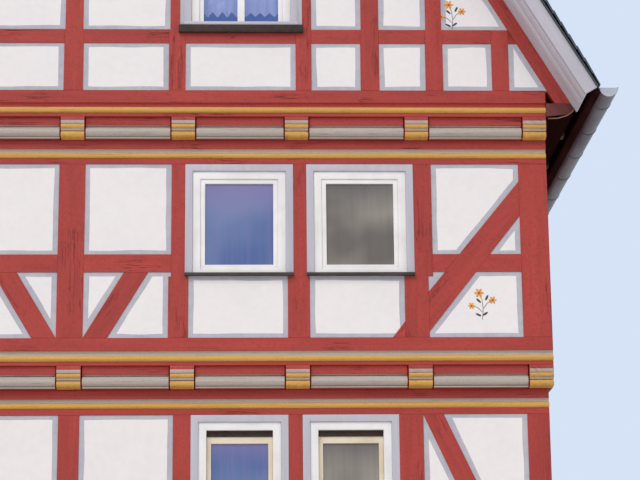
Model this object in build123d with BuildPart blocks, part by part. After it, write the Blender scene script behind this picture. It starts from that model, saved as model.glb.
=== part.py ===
from build123d import *
from collections import namedtuple
from math import cos, radians, sin, tan
import os

os.makedirs("parts", exist_ok=True)

# Heights of one storey, from the underside of its sill up
plinth_height = 450
sill_height = 285
field_height = 1850
plate_height = 260
joist_height = 230
storey_height = sill_height + field_height + plate_height + joist_height

# Outline of the ground storey, and how far each storey stands out over the one below
ground_half_width = 4890
ground_half_depth = 4450
side_jetty = 40
front_jetty = 150
gable_jetty = 120

# Timbers and infill
timber_depth = 200
panel_recess = 8
panel_thickness = 140
corner_side = 240
side_post_width = 190
side_bays = 7
side_windows = (1, 3, 5)
rail_bottom = 690
rail_height = 190
foot_brace_width = 250
side_brace_width = 230
brace_lean = 0.6
corner_brace_width = 230
corner_brace_top = 210
rising_brace_low = (60, 480)
rising_brace_high = (1290, 1665)
joist_width = 250
joist_inset = 8
filler_recess = 45
floor_thickness = 30
floor_gap = 2

# Mouldings, with heights from the underside of each timber and set-backs from its face
sill_fillet_set = 12
sill_roll_low = 38
sill_roll_radius = 32
sill_roll_set = 22
sill_cove_low = 108
sill_cove_top = 147
plate_roll_low = 62
plate_roll_radius = 33
plate_roll_set = 20
plate_cove_top = 165
filler_foot_set = 30
filler_roll_low = 45
filler_roll_radius = 55
filler_roll_set = 40
filler_top_fillet = 165
end_fillet_height = 25
end_upper_radius = 21
end_upper_set = 18
end_middle_height = 30
end_lower_radius = 38
end_lower_set = 52
end_foot_set = 105

# Plinth, ground floor and entrance
plinth_offset = 40
plinth_thickness = 400
ledge_width = 160
ground_joist_height = 180
ground_joist_width = 160
door_jamb = 90
door_leaf_thickness = 60
door_recess = 70
step_count = 3
step_run = 300
step_side = 200

# Windows, measured from the storey's sill bottom
window_bottom = 930
jamb_width = 77
head_height = 72
window_sill_height = 42
frame_width = 83
sash_width = 48
casing_depth = 150
frame_recess = 20
frame_depth = 70
sash_recess = 35
sash_depth = 45
glass_recess = 55
glass_thickness = 6
meeting_stiles = 75
weatherboard_height = 34
weatherboard_reach = 45

# Roof, with distances through it measured square to the slope
roof_pitch = 59.6
eave_reach = 480
verge_overhang = 580
slate_thickness = 40
board_thickness = 25
rafter_depth = 105
rafter_width = 120
rafter_pairs = 9
soffit_thickness = 15
gable_rafter_width = 143
ridge_beam_width = 60
ridge_gap = 2
bargeboard_thickness = 35
slate_overlap = 20
ridge_cap_wing = 170
ridge_cap_thickness = 12
rafter_foot_rise = 145
eave_lip = 45
eave_slope = 25
eave_ovolo = 95
fascia_height = 75
fascia_thickness = 25
gutter_radius = 97
gutter_wall = 6
gutter_lap = 8
gutter_drop = 16
bracket_count = 12
bracket_width = 30
bracket_thickness = 5
bracket_arm = 16
bracket_drop = 40

# Gable above its sill
gable_rail_bottom = 805
gable_rail_height = 155
gable_window_height = 1250
gable_margin = 43
collar_bottom = 2430
collar_height = 200
loft_rail_rise = 900
upper_collar_rise = 2550
collar_beam_width = 120
curtain_setback = 115
curtain_thickness = 4
curtain_height = 820
curtain_side = 20
curtain_seat = 0.3
rod_radius = 8
rod_drop = 60

Storey = namedtuple("Storey", "bottom half_width half_depth corner lower upper")

# Posts on the right half of each front, from the axis out: centre and width, under and over the rail
ground = Storey(
    plinth_height,
    ground_half_width,
    ground_half_depth,
    230,
    ((0, 216), (1152, 206), (2316, 200), (3480, 260)),
    ((0, 216), (1152, 181), (2316, 150), (3495, 230)),
)
first = Storey(
    ground.bottom + storey_height,
    ground.half_width + side_jetty,
    ground.half_depth + front_jetty,
    230,
    ((0, 216), (1152, 206), (2316, 200), (3480, 260)),
    ((0, 216), (1152, 181), (2316, 145), (3503, 249)),
)
second = Storey(
    first.bottom + storey_height,
    first.half_width + side_jetty,
    first.half_depth + front_jetty,
    300,
    ((0, 272), (1111, 206), (2355, 227), (3575, 250)),
    ((0, 272), (1105, 142), (2371, 138), (3654, 190)),
)
gable = Storey(
    second.bottom + storey_height,
    second.half_width,
    second.half_depth + gable_jetty,
    0,
    ((0, 203), (1087, 175), (2418, 166), (3118, 198), (3799, 186), (4500, 181)),
    ((0, 187), (1063, 101), (2453, 96), (3121, 189), (3799, 169)),
)
storeys = (ground, first, second)
joist_centres = (0, 1155, 2340, 3600)
window_bays = (1, 2)
door_bay = 0
gable_window_bay = 1

# Slopes of the roof
pitch = radians(roof_pitch)
eave_level = gable.bottom + rafter_foot_rise
eave_half_width = gable.half_width + eave_reach
ridge_height = eave_level + eave_half_width * tan(pitch)
rafter_top = slate_thickness + board_thickness
rafter_under = rafter_top + rafter_depth
soffit_under = rafter_under + soffit_thickness
gable_inner = soffit_under + gable_rafter_width


def roof_x(depth, height):
    return (ridge_height - depth / cos(pitch) - height) / tan(pitch)


def roof_z(depth, x):
    return ridge_height - depth / cos(pitch) - x * tan(pitch)


def slope_end(depth):
    return eave_half_width - depth * sin(pitch), eave_level - depth * cos(pitch)


def wall_plane(side, reach):
    if side == "front":
        return Plane(origin=(0, -reach, 0), x_dir=(1, 0, 0), z_dir=(0, -1, 0))
    if side == "back":
        return Plane(origin=(0, reach, 0), x_dir=(-1, 0, 0), z_dir=(0, 1, 0))
    if side == "right":
        return Plane(origin=(reach, 0, 0), x_dir=(0, 1, 0), z_dir=(1, 0, 0))
    return Plane(origin=(-reach, 0, 0), x_dir=(0, -1, 0), z_dir=(-1, 0, 0))


def wall_reach(storey, side):
    return storey.half_depth if side in ("front", "back") else storey.half_width


# Faces of rectangles drawn on a wall, each given as left, right, low and high
def wall_faces(side, reach, spans, recess=0):
    with BuildSketch(wall_plane(side, reach - recess)) as outline:
        for left, right, low, high in spans:
            with Locations(((left + right) / 2, (low + high) / 2)):
                Rectangle(right - left, high - low)
    return list(outline.sketch.faces())


# Face of an outline drawn on a wall or a section
def outline_face(plane, points):
    with BuildSketch(plane) as outline:
        with BuildLine():
            Polyline(*points, close=True)
        make_face()
    return outline.sketch.face()


def mirrored(spans):
    return list(spans) + [(-right, -left, low, high) for left, right, low, high in spans if left > -right]


def mirrored_outline(points):
    return [(-x, z) for x, z in points]


def front_edges(storey, level):
    posts = storey.lower if level == "lower" else storey.upper
    edges = [(centre - width / 2, centre + width / 2) for centre, width in posts]
    if storey.corner:
        edges.append((storey.half_width - storey.corner, storey.half_width))
    return edges


def side_edges(storey):
    inner = storey.half_depth - corner_side
    spacing = (2 * inner + side_post_width) / side_bays
    edges = [(-storey.half_depth, -inner)]
    for i in range(1, side_bays):
        left = -inner - side_post_width + spacing * i
        edges.append((left, left + side_post_width))
    edges.append((inner, storey.half_depth))
    return edges


def bays(edges):
    return [(edges[i][1], edges[i + 1][0]) for i in range(len(edges) - 1)]


def field(storey):
    low = storey.bottom + sill_height
    return low, low + field_height


def rail_span(storey):
    low = storey.bottom + sill_height + rail_bottom
    return low, low + rail_height


door_left, door_right = bays(front_edges(ground, "lower"))[door_bay]
door_low, door_top = ground.bottom, field(ground)[1]


# Windows, each as side, reach, left, right, low and high
def window_spans():
    spans = []
    for storey in storeys:
        heights = (storey.bottom + window_bottom, field(storey)[1])
        upper = bays(front_edges(storey, "upper"))
        for side in ("front", "back"):
            for span in mirrored([upper[i] + heights for i in window_bays]):
                spans.append((side, storey.half_depth) + span)
        sides = bays(side_edges(storey))
        for side in ("right", "left"):
            for i in side_windows:
                spans.append((side, storey.half_width) + sides[i] + heights)
    left, right = bays(front_edges(gable, "upper"))[gable_window_bay]
    low = gable.bottom + gable_rail_bottom + gable_rail_height
    for side in ("front", "back"):
        for span in mirrored([(left + gable_margin, right - gable_margin, low, low + gable_window_height)]):
            spans.append((side, gable.half_depth) + span)
    return spans


windows = window_spans()


def wall_windows(side, reach):
    return [window[2:] for window in windows if window[:2] == (side, reach)]


# Posts of a full storey that stand between its corners
def post_spans(storey, side):
    low, high = field(storey)
    if side in ("right", "left"):
        return [edge + (low, high) for edge in side_edges(storey)[1:-1]]
    middle = storey.bottom + window_bottom
    spans = [edge + (low, middle) for edge in front_edges(storey, "lower")[:-1]]
    spans += [edge + (middle, high) for edge in front_edges(storey, "upper")[:-1]]
    return mirrored(spans)


def corner_spans(storey, side):
    low, high = field(storey)
    reach = storey.half_width if side in ("front", "back") else storey.half_depth
    width = storey.corner if side in ("front", "back") else corner_side
    return [(reach - width, reach, low, high), (-reach, width - reach, low, high)]


def rail_spans(storey, side):
    if side in ("right", "left"):
        plain = [b for i, b in enumerate(bays(side_edges(storey))) if i not in side_windows]
        return [bay + rail_span(storey) for bay in plain]
    plain = [b for i, b in enumerate(bays(front_edges(storey, "upper"))) if i not in window_bays]
    spans = mirrored([bay + rail_span(storey) for bay in plain])
    if storey is ground and side == "front":
        spans = [span for span in spans if not door_left <= span[0] < door_right]
    return spans


# Braces of a full storey, each as its corners on the wall
def foot_brace(left, width, storey):
    low, high = storey.bottom + sill_height, rail_span(storey)[0]
    lean = (high - low) * brace_lean
    return [(left, low), (left + width, low), (left + width + lean, high), (left + lean, high)]


def corner_brace(storey):
    low, high = field(storey)
    left, right = bays(front_edges(storey, "lower"))[-1]
    if storey is second:
        return [
            (left, low + rising_brace_low[0]),
            (right, low + rising_brace_high[0]),
            (right, low + rising_brace_high[1]),
            (left, low + rising_brace_low[1]),
        ]
    top_left = bays(front_edges(storey, "upper"))[-1][0]
    return [
        (right - corner_brace_width, low),
        (right, low),
        (top_left + corner_brace_top, high),
        (top_left, high),
    ]


def brace_outlines(storey, side):
    if side in ("right", "left"):
        foot = foot_brace(side_edges(storey)[0][1], side_brace_width, storey)
        return [foot, mirrored_outline(foot)]
    corner = corner_brace(storey)
    foot = foot_brace(front_edges(storey, "lower")[0][1], foot_brace_width, storey)
    outlines = [corner, mirrored_outline(corner), mirrored_outline(foot)]
    if not (storey is ground and side == "front"):
        outlines.append(foot)
    return outlines


# Stone plinth under the walls, with a ledge inside for the ground joists
with BuildPart() as plinth:
    with BuildSketch():
        Rectangle(
            2 * (ground.half_width + plinth_offset),
            2 * (ground.half_depth + plinth_offset),
        )
        Rectangle(
            2 * (ground.half_width + plinth_offset - plinth_thickness),
            2 * (ground.half_depth + plinth_offset - plinth_thickness),
            mode=Mode.SUBTRACT,
        )
    extrude(amount=plinth_height)
    with BuildSketch():
        Rectangle(
            2 * (ground.half_width + plinth_offset - plinth_thickness),
            2 * (ground.half_depth + plinth_offset - plinth_thickness),
        )
        Rectangle(
            2 * (ground.half_width + plinth_offset - plinth_thickness - ledge_width),
            2 * (ground.half_depth + plinth_offset - plinth_thickness - ledge_width),
            mode=Mode.SUBTRACT,
        )
    extrude(amount=plinth_height - ground_joist_height)
plinth.part.label = "plinth"
export_step(plinth.part, "parts/plinth.step")

# Stone steps up to the entrance
with BuildPart() as door_steps:
    step_face = -ground.half_depth - plinth_offset
    step_rise = plinth_height / step_count
    points = [(step_face, 0), (step_face, plinth_height)]
    for i in range(step_count):
        edge = step_face - step_run * (i + 1)
        points.append((edge, plinth_height - step_rise * i))
        points.append((edge, plinth_height - step_rise * (i + 1)))
    with BuildSketch(Plane(origin=(door_left - step_side, 0, 0), x_dir=(0, 1, 0), z_dir=(1, 0, 0))):
        with BuildLine():
            Polyline(*points, close=True)
        make_face()
    extrude(amount=door_right - door_left + 2 * step_side)
door_steps.part.label = "door_steps"
export_step(door_steps.part, "parts/door_steps.step")

# Frame and leaf of the entrance
with BuildPart() as door_frame:
    with BuildSketch(wall_plane("front", ground.half_depth)):
        width, height = door_right - door_left, door_top - door_low
        with Locations((door_left + width / 2, door_low + height / 2)):
            Rectangle(width, height)
        with Locations((door_left + width / 2, door_low + (height - door_jamb) / 2)):
            Rectangle(width - 2 * door_jamb, height - door_jamb, mode=Mode.SUBTRACT)
    extrude(amount=-timber_depth)
door_frame.part.label = "door_frame"
export_step(door_frame.part, "parts/door_frame.step")

with BuildPart() as entrance_door:
    leaf = (door_left + door_jamb, door_right - door_jamb, door_low, door_top - door_jamb)
    extrude(wall_faces("front", ground.half_depth, [leaf], door_recess), amount=-door_leaf_thickness)
entrance_door.part.label = "entrance_door"
export_step(entrance_door.part, "parts/entrance_door.step")


# Plane of a section through a wall timber, seen along the wall, with its x pointing out of the wall
def section_plane(side, reach, end):
    wall = wall_plane(side, reach)
    return Plane(origin=wall.origin + wall.x_dir * end, x_dir=wall.z_dir, z_dir=wall.x_dir * -1)


# Half-round roll that stands out between two heights of a section
def roll(setback, low, radius):
    ThreePointArc((setback, low), (setback + radius, low + radius), (setback, low + 2 * radius))


def hollow(start, end):
    ThreePointArc(start, ((3 * start[0] + end[0]) / 4, (start[1] + 3 * end[1]) / 4), end)


# Sill with a flat face over a hollow, a roll and a fillet
def sill_section(side, reach, end, bottom):
    with BuildSketch(section_plane(side, reach, end)) as section:
        roll_low = bottom + sill_roll_low
        roll_top = roll_low + 2 * sill_roll_radius
        with BuildLine():
            Polyline(
                (-sill_roll_set, roll_low),
                (-sill_fillet_set, roll_low),
                (-sill_fillet_set, bottom),
                (-timber_depth, bottom),
                (-timber_depth, bottom + sill_height),
                (0, bottom + sill_height),
                (0, bottom + sill_cove_top),
            )
            hollow((-sill_roll_set, bottom + sill_cove_low), (0, bottom + sill_cove_top))
            Line((-sill_roll_set, bottom + sill_cove_low), (-sill_roll_set, roll_top))
            roll(-sill_roll_set, roll_low, sill_roll_radius)
        make_face()
    return section.sketch.face()


# Wall plate with a roll near its foot and a hollow over it
def plate_section(side, reach, end, bottom):
    with BuildSketch(section_plane(side, reach, end)) as section:
        roll_low = bottom + plate_roll_low
        roll_top = roll_low + 2 * plate_roll_radius
        with BuildLine():
            Polyline(
                (-plate_roll_set, roll_low),
                (0, roll_low),
                (0, bottom),
                (-timber_depth, bottom),
                (-timber_depth, bottom + plate_height),
                (0, bottom + plate_height),
                (0, bottom + plate_cove_top),
            )
            hollow((-plate_roll_set, roll_top), (0, bottom + plate_cove_top))
            roll(-plate_roll_set, roll_low, plate_roll_radius)
        make_face()
    return section.sketch.face()


# Board between joist ends, with one large roll
def filler_section(side, reach, end, bottom, depth):
    with BuildSketch(section_plane(side, reach, end)) as section:
        roll_low = bottom + filler_roll_low
        roll_top = roll_low + 2 * filler_roll_radius
        with BuildLine():
            Polyline(
                (-filler_roll_set, roll_low),
                (-filler_foot_set, roll_low),
                (-filler_foot_set, bottom),
                (-depth, bottom),
                (-depth, bottom + joist_height),
                (0, bottom + joist_height),
                (0, bottom + filler_top_fillet),
                (-filler_roll_set, roll_top),
            )
            roll(-filler_roll_set, roll_low, filler_roll_radius)
        make_face()
    return section.sketch.face()


# Joist seen from the side, with a small roll over a larger one at each end
def joist_section(left, reach, bottom):
    top = bottom + joist_height
    upper_top = top - end_fillet_height
    upper_low = upper_top - 2 * end_upper_radius
    lower_top = upper_low - end_middle_height
    lower_low = lower_top - 2 * end_lower_radius
    upper_x, lower_x = reach - end_upper_set, reach - end_lower_set
    with BuildSketch(Plane(origin=(left, 0, 0), x_dir=(0, 1, 0), z_dir=(1, 0, 0))) as section:
        with BuildLine():
            Polyline((0, top), (reach, top), (reach, upper_top), (upper_x, upper_top))
            roll(upper_x, upper_low, end_upper_radius)
            Polyline((upper_x, upper_low), (upper_x, lower_top), (lower_x, lower_top))
            roll(lower_x, lower_low, end_lower_radius)
            Polyline((lower_x, lower_low), (reach - end_foot_set, bottom), (0, bottom))
            mirror(about=Plane.YZ)
        make_face()
    return section.sketch.face()


# Sills along the fronts and along the sides
with BuildPart() as front_sills:
    for storey in storeys + (gable,):
        reach = storey.half_width
        for side in ("front", "back"):
            spans = [(-reach, reach)]
            if storey is ground and side == "front":
                spans = [(-reach, door_left), (door_right, reach)]
            for left, right in spans:
                extrude(sill_section(side, storey.half_depth, right, storey.bottom), amount=right - left)
front_sills.part.label = "front_sills"
export_step(front_sills.part, "parts/front_sills.step")

with BuildPart() as side_sills:
    for storey in storeys:
        end, low = storey.half_depth - timber_depth, storey.bottom
        sections = [sill_section(side, storey.half_width, end, low) for side in ("right", "left")]
        extrude(sections, amount=2 * end)
side_sills.part.label = "side_sills"
export_step(side_sills.part, "parts/side_sills.step")

# Wall plates along the fronts and along the sides
with BuildPart() as front_plates:
    for storey in storeys:
        end, low = storey.half_width, field(storey)[1]
        sections = [plate_section(side, storey.half_depth, end, low) for side in ("front", "back")]
        extrude(sections, amount=2 * end)
front_plates.part.label = "front_plates"
export_step(front_plates.part, "parts/front_plates.step")

with BuildPart() as side_plates:
    for storey in storeys:
        end, low = storey.half_depth - timber_depth, field(storey)[1]
        sections = [plate_section(side, storey.half_width, end, low) for side in ("right", "left")]
        extrude(sections, amount=2 * end)
side_plates.part.label = "side_plates"
export_step(side_plates.part, "parts/side_plates.step")


# Posts of one storey along its four walls, and its corner posts
def storey_posts(storey):
    faces = []
    for side in ("front", "back", "right", "left"):
        faces += wall_faces(side, wall_reach(storey, side), post_spans(storey, side))
    extrude(faces, amount=-timber_depth)
    low, high = field(storey)
    with BuildSketch(Plane.XY.offset(low)) as corners:
        x = storey.half_width - storey.corner / 2
        y = storey.half_depth - corner_side / 2
        with GridLocations(2 * x, 2 * y, 2, 2):
            Rectangle(storey.corner, corner_side)
    extrude(corners.sketch, amount=high - low)


with BuildPart() as ground_posts:
    storey_posts(ground)
ground_posts.part.label = "ground_posts"
export_step(ground_posts.part, "parts/ground_posts.step")

with BuildPart() as first_posts:
    storey_posts(first)
first_posts.part.label = "first_posts"
export_step(first_posts.part, "parts/first_posts.step")

with BuildPart() as second_posts:
    storey_posts(second)
second_posts.part.label = "second_posts"
export_step(second_posts.part, "parts/second_posts.step")


# Rails of one wall of a full storey, broken by its braces
def wall_rails(storey, side):
    with BuildSketch(wall_plane(side, wall_reach(storey, side))) as outline:
        for left, right, low, high in rail_spans(storey, side):
            with Locations(((left + right) / 2, (low + high) / 2)):
                Rectangle(right - left, high - low)
        for points in brace_outlines(storey, side):
            with BuildLine():
                Polyline(*points, close=True)
            make_face(mode=Mode.SUBTRACT)
    return list(outline.sketch.faces())


with BuildPart() as rails:
    faces = []
    for storey in storeys:
        for side in ("front", "back", "right", "left"):
            faces += wall_rails(storey, side)
    extrude(faces, amount=-timber_depth)
rails.part.label = "rails"
export_step(rails.part, "parts/rails.step")

with BuildPart() as braces:
    faces = []
    for storey in storeys:
        for side in ("front", "back", "right", "left"):
            plane = wall_plane(side, wall_reach(storey, side))
            faces += [outline_face(plane, points) for points in brace_outlines(storey, side)]
    extrude(faces, amount=-timber_depth)
braces.part.label = "braces"
export_step(braces.part, "parts/braces.step")


# Infill of a wall: its field without the timbers, windows and door
def infill(plane, outline_points, spans, outlines):
    with BuildSketch(plane) as fill:
        with BuildLine():
            Polyline(*outline_points, close=True)
        make_face()
        for left, right, low, high in spans:
            with Locations(((left + right) / 2, (low + high) / 2)):
                Rectangle(right - left, high - low, mode=Mode.SUBTRACT)
        for points in outlines:
            with BuildLine():
                Polyline(*points, close=True)
            make_face(mode=Mode.SUBTRACT)
    return list(fill.sketch.faces())


def storey_panels(storey):
    low, high = field(storey)
    faces = []
    for side in ("front", "back", "right", "left"):
        reach = wall_reach(storey, side)
        half = storey.half_width if side in ("front", "back") else storey.half_depth
        spans = post_spans(storey, side) + corner_spans(storey, side) + rail_spans(storey, side)
        spans += wall_windows(side, reach)
        if storey is ground and side == "front":
            spans.append((door_left, door_right, door_low, door_top))
        whole = [(-half, low), (half, low), (half, high), (-half, high)]
        plane = wall_plane(side, reach - panel_recess)
        faces += infill(plane, whole, spans, brace_outlines(storey, side))
    extrude(faces, amount=-panel_thickness)


with BuildPart() as ground_panels:
    storey_panels(ground)
ground_panels.part.label = "ground_panels"
export_step(ground_panels.part, "parts/ground_panels.step")

with BuildPart() as first_panels:
    storey_panels(first)
first_panels.part.label = "first_panels"
export_step(first_panels.part, "parts/first_panels.step")

with BuildPart() as second_panels:
    storey_panels(second)
second_panels.part.label = "second_panels"
export_step(second_panels.part, "parts/second_panels.step")

# Heights in the gable, from its sill to its upper collar
gable_low = gable.bottom + sill_height
gable_rail = (gable.bottom + gable_rail_bottom, gable.bottom + gable_rail_bottom + gable_rail_height)
collar = (gable.bottom + collar_bottom, gable.bottom + collar_bottom + collar_height)
loft_rail = (collar[1] + loft_rail_rise, collar[1] + loft_rail_rise + gable_rail_height)
upper_collar = (collar[1] + upper_collar_rise, collar[1] + upper_collar_rise + collar_height)


def gable_triangle(depth, low):
    return [(-roof_x(depth, low), low), (roof_x(depth, low), low), (0, roof_z(depth, 0))]


def gable_post_spans():
    lower = front_edges(gable, "lower")
    spans = [edge + (gable_low, gable_rail[1]) for edge in lower]
    spans += [edge + (gable_rail[1], collar[0]) for edge in front_edges(gable, "upper")]
    spans += [edge + (collar[1], upper_collar[0]) for edge in lower[:3]]
    spans.append(lower[0] + (upper_collar[1], ridge_height))
    return mirrored(spans)


def gable_rail_spans():
    lower = front_edges(gable, "lower")
    spans = [bay + gable_rail for bay in bays(lower)]
    spans.append((lower[-1][1], gable.half_width) + gable_rail)
    spans += [bay + loft_rail for bay in bays(lower[:3])]
    spans.append((lower[2][1], gable.half_width) + loft_rail)
    return mirrored(spans)


def collar_spans():
    return [(-gable.half_width, gable.half_width) + heights for heights in (collar, upper_collar)]


# Timbers of the gable walls, trimmed along the rafters that edge them
def gable_timbers(spans):
    faces = []
    for side in ("front", "back"):
        with BuildSketch(wall_plane(side, gable.half_depth)) as outline:
            for left, right, low, high in spans:
                with Locations(((left + right) / 2, (low + high) / 2)):
                    Rectangle(right - left, high - low)
            with BuildLine():
                Polyline(*gable_triangle(gable_inner, gable_low), close=True)
            make_face(mode=Mode.INTERSECT)
        faces += outline.sketch.faces()
    extrude(faces, amount=-timber_depth)


with BuildPart() as gable_posts:
    gable_timbers(gable_post_spans())
gable_posts.part.label = "gable_posts"
export_step(gable_posts.part, "parts/gable_posts.step")

with BuildPart() as gable_rails:
    gable_timbers(gable_rail_spans())
gable_rails.part.label = "gable_rails"
export_step(gable_rails.part, "parts/gable_rails.step")

with BuildPart() as gable_collars:
    gable_timbers(collar_spans())
gable_collars.part.label = "gable_collars"
export_step(gable_collars.part, "parts/gable_collars.step")

with BuildPart() as gable_panels:
    faces = []
    for side in ("front", "back"):
        spans = gable_post_spans() + gable_rail_spans() + collar_spans()
        spans += wall_windows(side, gable.half_depth)
        plane = wall_plane(side, gable.half_depth - panel_recess)
        faces += infill(plane, gable_triangle(gable_inner, gable_low), spans, [])
    extrude(faces, amount=-panel_thickness)
gable_panels.part.label = "gable_panels"
export_step(gable_panels.part, "parts/gable_panels.step")


# Joists that run from front to back and stand out under the storey above
def level_joists(above):
    outer = above.half_width - joist_width / 2
    reach = above.half_depth - joist_inset
    lefts = [c - joist_width / 2 for c in joist_centres + (outer,)]
    lefts += [-c - joist_width / 2 for c in joist_centres[1:] + (outer,)]
    sections = [joist_section(left, reach, above.bottom - joist_height) for left in lefts]
    extrude(sections, amount=joist_width)


with BuildPart() as first_joists:
    level_joists(first)
first_joists.part.label = "first_joists"
export_step(first_joists.part, "parts/first_joists.step")

with BuildPart() as second_joists:
    level_joists(second)
second_joists.part.label = "second_joists"
export_step(second_joists.part, "parts/second_joists.step")

with BuildPart() as attic_joists:
    level_joists(gable)
attic_joists.part.label = "attic_joists"
export_step(attic_joists.part, "parts/attic_joists.step")

with BuildPart() as ground_joists:
    reach = ground.half_depth + plinth_offset - plinth_thickness
    heights = (plinth_height - ground_joist_height, plinth_height)
    spans = [(c - ground_joist_width / 2, c + ground_joist_width / 2) + heights for c in joist_centres]
    extrude(wall_faces("front", reach, mirrored(spans)), amount=-2 * reach)
ground_joists.part.label = "ground_joists"
export_step(ground_joists.part, "parts/ground_joists.step")

# Moulded boards that close the gaps between the joist ends
with BuildPart() as joist_fillers:
    for below, above in ((ground, first), (first, second), (second, gable)):
        centres = joist_centres + (above.half_width - joist_width / 2,)
        edges = [(c - joist_width / 2, c + joist_width / 2) for c in centres]
        reach = above.half_depth - filler_recess
        depth = reach - below.half_depth + timber_depth
        for left, right in bays(edges):
            sections = []
            for side in ("front", "back"):
                for end in (right, -left):
                    sections.append(filler_section(side, reach, end, above.bottom - joist_height, depth))
            extrude(sections, amount=right - left)
joist_fillers.part.label = "joist_fillers"
export_step(joist_fillers.part, "parts/joist_fillers.step")


def floor_boards(storey, inset):
    with BuildSketch(Plane.XY.offset(storey.bottom)) as outline:
        Rectangle(2 * (storey.half_width - inset), 2 * (storey.half_depth - inset))
    extrude(outline.sketch, amount=floor_thickness)


with BuildPart() as ground_floor:
    floor_boards(ground, timber_depth + floor_gap)
ground_floor.part.label = "ground_floor"
export_step(ground_floor.part, "parts/ground_floor.step")

with BuildPart() as upper_floors:
    for storey in (first, second, gable):
        floor_boards(storey, timber_depth + floor_gap)
upper_floors.part.label = "upper_floors"
export_step(upper_floors.part, "parts/upper_floors.step")


# Moulded beam along an eave: a slope and an ovolo under the rafter feet
def eave_section(depth, direction):
    wall = gable.half_width
    seat = roof_x(rafter_under, eave_level)
    lip = seat + eave_lip
    slope_x, slope_z = lip - eave_ovolo, gable.bottom + eave_slope
    bulge_x, bulge_z = lip - 0.3 * eave_ovolo, eave_level - 0.7 * (eave_level - slope_z)
    inner = wall - timber_depth
    top = gable.bottom + sill_height
    with BuildSketch(Plane.XZ.offset(depth)) as section:
        with BuildLine():
            Polyline((direction * wall, gable.bottom), (direction * slope_x, slope_z))
            ThreePointArc(
                (direction * slope_x, slope_z),
                (direction * bulge_x, bulge_z),
                (direction * lip, eave_level),
            )
            if depth > gable.half_depth - timber_depth:
                Polyline(
                    (direction * lip, eave_level),
                    (direction * wall, eave_level),
                    (direction * wall, gable.bottom),
                )
            else:
                Polyline(
                    (direction * lip, eave_level),
                    (direction * seat, eave_level),
                    (direction * roof_x(rafter_under, top), top),
                    (direction * inner, top),
                    (direction * inner, gable.bottom),
                    (direction * wall, gable.bottom),
                )
        make_face()
    return section.sketch.face()


with BuildPart() as eave_beams:
    for direction in (1, -1):
        reach = gable.half_depth - timber_depth
        extrude(eave_section(reach, direction), amount=-2 * reach)
        extrude(eave_section(gable.half_depth, direction), amount=-2 * gable.half_depth)
eave_beams.part.label = "eave_beams"
export_step(eave_beams.part, "parts/eave_beams.step")

# Rafters that edge the gable walls, with their feet on the eave beams
with BuildPart() as gable_rafters:
    faces = []
    for side in ("front", "back"):
        for direction in (1, -1):
            points = [
                (direction * ridge_gap / 2, roof_z(soffit_under, ridge_gap / 2)),
                (direction * roof_x(soffit_under, eave_level), eave_level),
                (direction * roof_x(gable_inner, eave_level), eave_level),
                (direction * ridge_gap / 2, roof_z(gable_inner, ridge_gap / 2)),
            ]
            faces.append(outline_face(wall_plane(side, gable.half_depth), points))
    extrude(faces, amount=-timber_depth)
gable_rafters.part.label = "gable_rafters"
export_step(gable_rafters.part, "parts/gable_rafters.step")


# Outline of a rafter or board on one slope, plumb at the ridge and level at its foot
def level_layer(outer, inner, middle, low, direction):
    return [
        (direction * middle, roof_z(outer, middle)),
        (direction * roof_x(outer, low), low),
        (direction * roof_x(inner, low), low),
        (direction * middle, roof_z(inner, middle)),
    ]


# Outline of a layer that runs on to the eave, where it is cut square to the slope
def square_layer(outer, inner, middle, direction):
    outer_x, outer_z = slope_end(outer)
    inner_x, inner_z = slope_end(inner)
    return [
        (direction * middle, roof_z(outer, middle)),
        (direction * outer_x, outer_z),
        (direction * inner_x, inner_z),
        (direction * middle, roof_z(inner, middle)),
    ]


roof_front = gable.half_depth + verge_overhang
slate_front = roof_front + bargeboard_thickness + slate_overlap
rafter_step = 2 * (gable.half_depth - rafter_width / 2) / (rafter_pairs - 1)
with BuildPart() as rafters:
    faces = []
    for direction in (1, -1):
        for i in range(rafter_pairs):
            points = level_layer(rafter_top, rafter_under, ridge_beam_width / 2, eave_level, direction)
            faces.append(outline_face(Plane.XZ.offset(gable.half_depth - rafter_step * i), points))
    extrude(faces, amount=-rafter_width)
rafters.part.label = "rafters"
export_step(rafters.part, "parts/rafters.step")

with BuildPart() as ridge_beam:
    top = roof_z(rafter_top, ridge_beam_width / 2)
    span = (-ridge_beam_width / 2, ridge_beam_width / 2, roof_z(soffit_under, 0), top)
    extrude(wall_faces("front", roof_front, [span]), amount=-2 * roof_front)
ridge_beam.part.label = "ridge_beam"
export_step(ridge_beam.part, "parts/ridge_beam.step")

# Collar beams across each pair of rafters inside the roof
with BuildPart() as collar_beams:
    faces = []
    for i in range(1, rafter_pairs - 1):
        for low, high in (collar, upper_collar):
            points = [
                (-roof_x(rafter_under, low), low),
                (roof_x(rafter_under, low), low),
                (roof_x(rafter_under, high), high),
                (-roof_x(rafter_under, high), high),
            ]
            faces.append(outline_face(Plane.XZ.offset(gable.half_depth - rafter_step * i), points))
    extrude(faces, amount=-collar_beam_width)
collar_beams.part.label = "collar_beams"
export_step(collar_beams.part, "parts/collar_beams.step")

# Boards and slates on each slope
with BuildPart() as roof_boards:
    sections = [square_layer(slate_thickness, rafter_top, ridge_gap / 2, side) for side in (1, -1)]
    faces = [outline_face(Plane.XZ.offset(roof_front), points) for points in sections]
    extrude(faces, amount=-2 * roof_front)
roof_boards.part.label = "roof_boards"
export_step(roof_boards.part, "parts/roof_boards.step")

with BuildPart() as roof_slates:
    sections = [square_layer(0, slate_thickness, ridge_gap / 2, side) for side in (1, -1)]
    faces = [outline_face(Plane.XZ.offset(slate_front), points) for points in sections]
    extrude(faces, amount=-2 * slate_front)
roof_slates.part.label = "roof_slates"
export_step(roof_slates.part, "parts/roof_slates.step")

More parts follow.
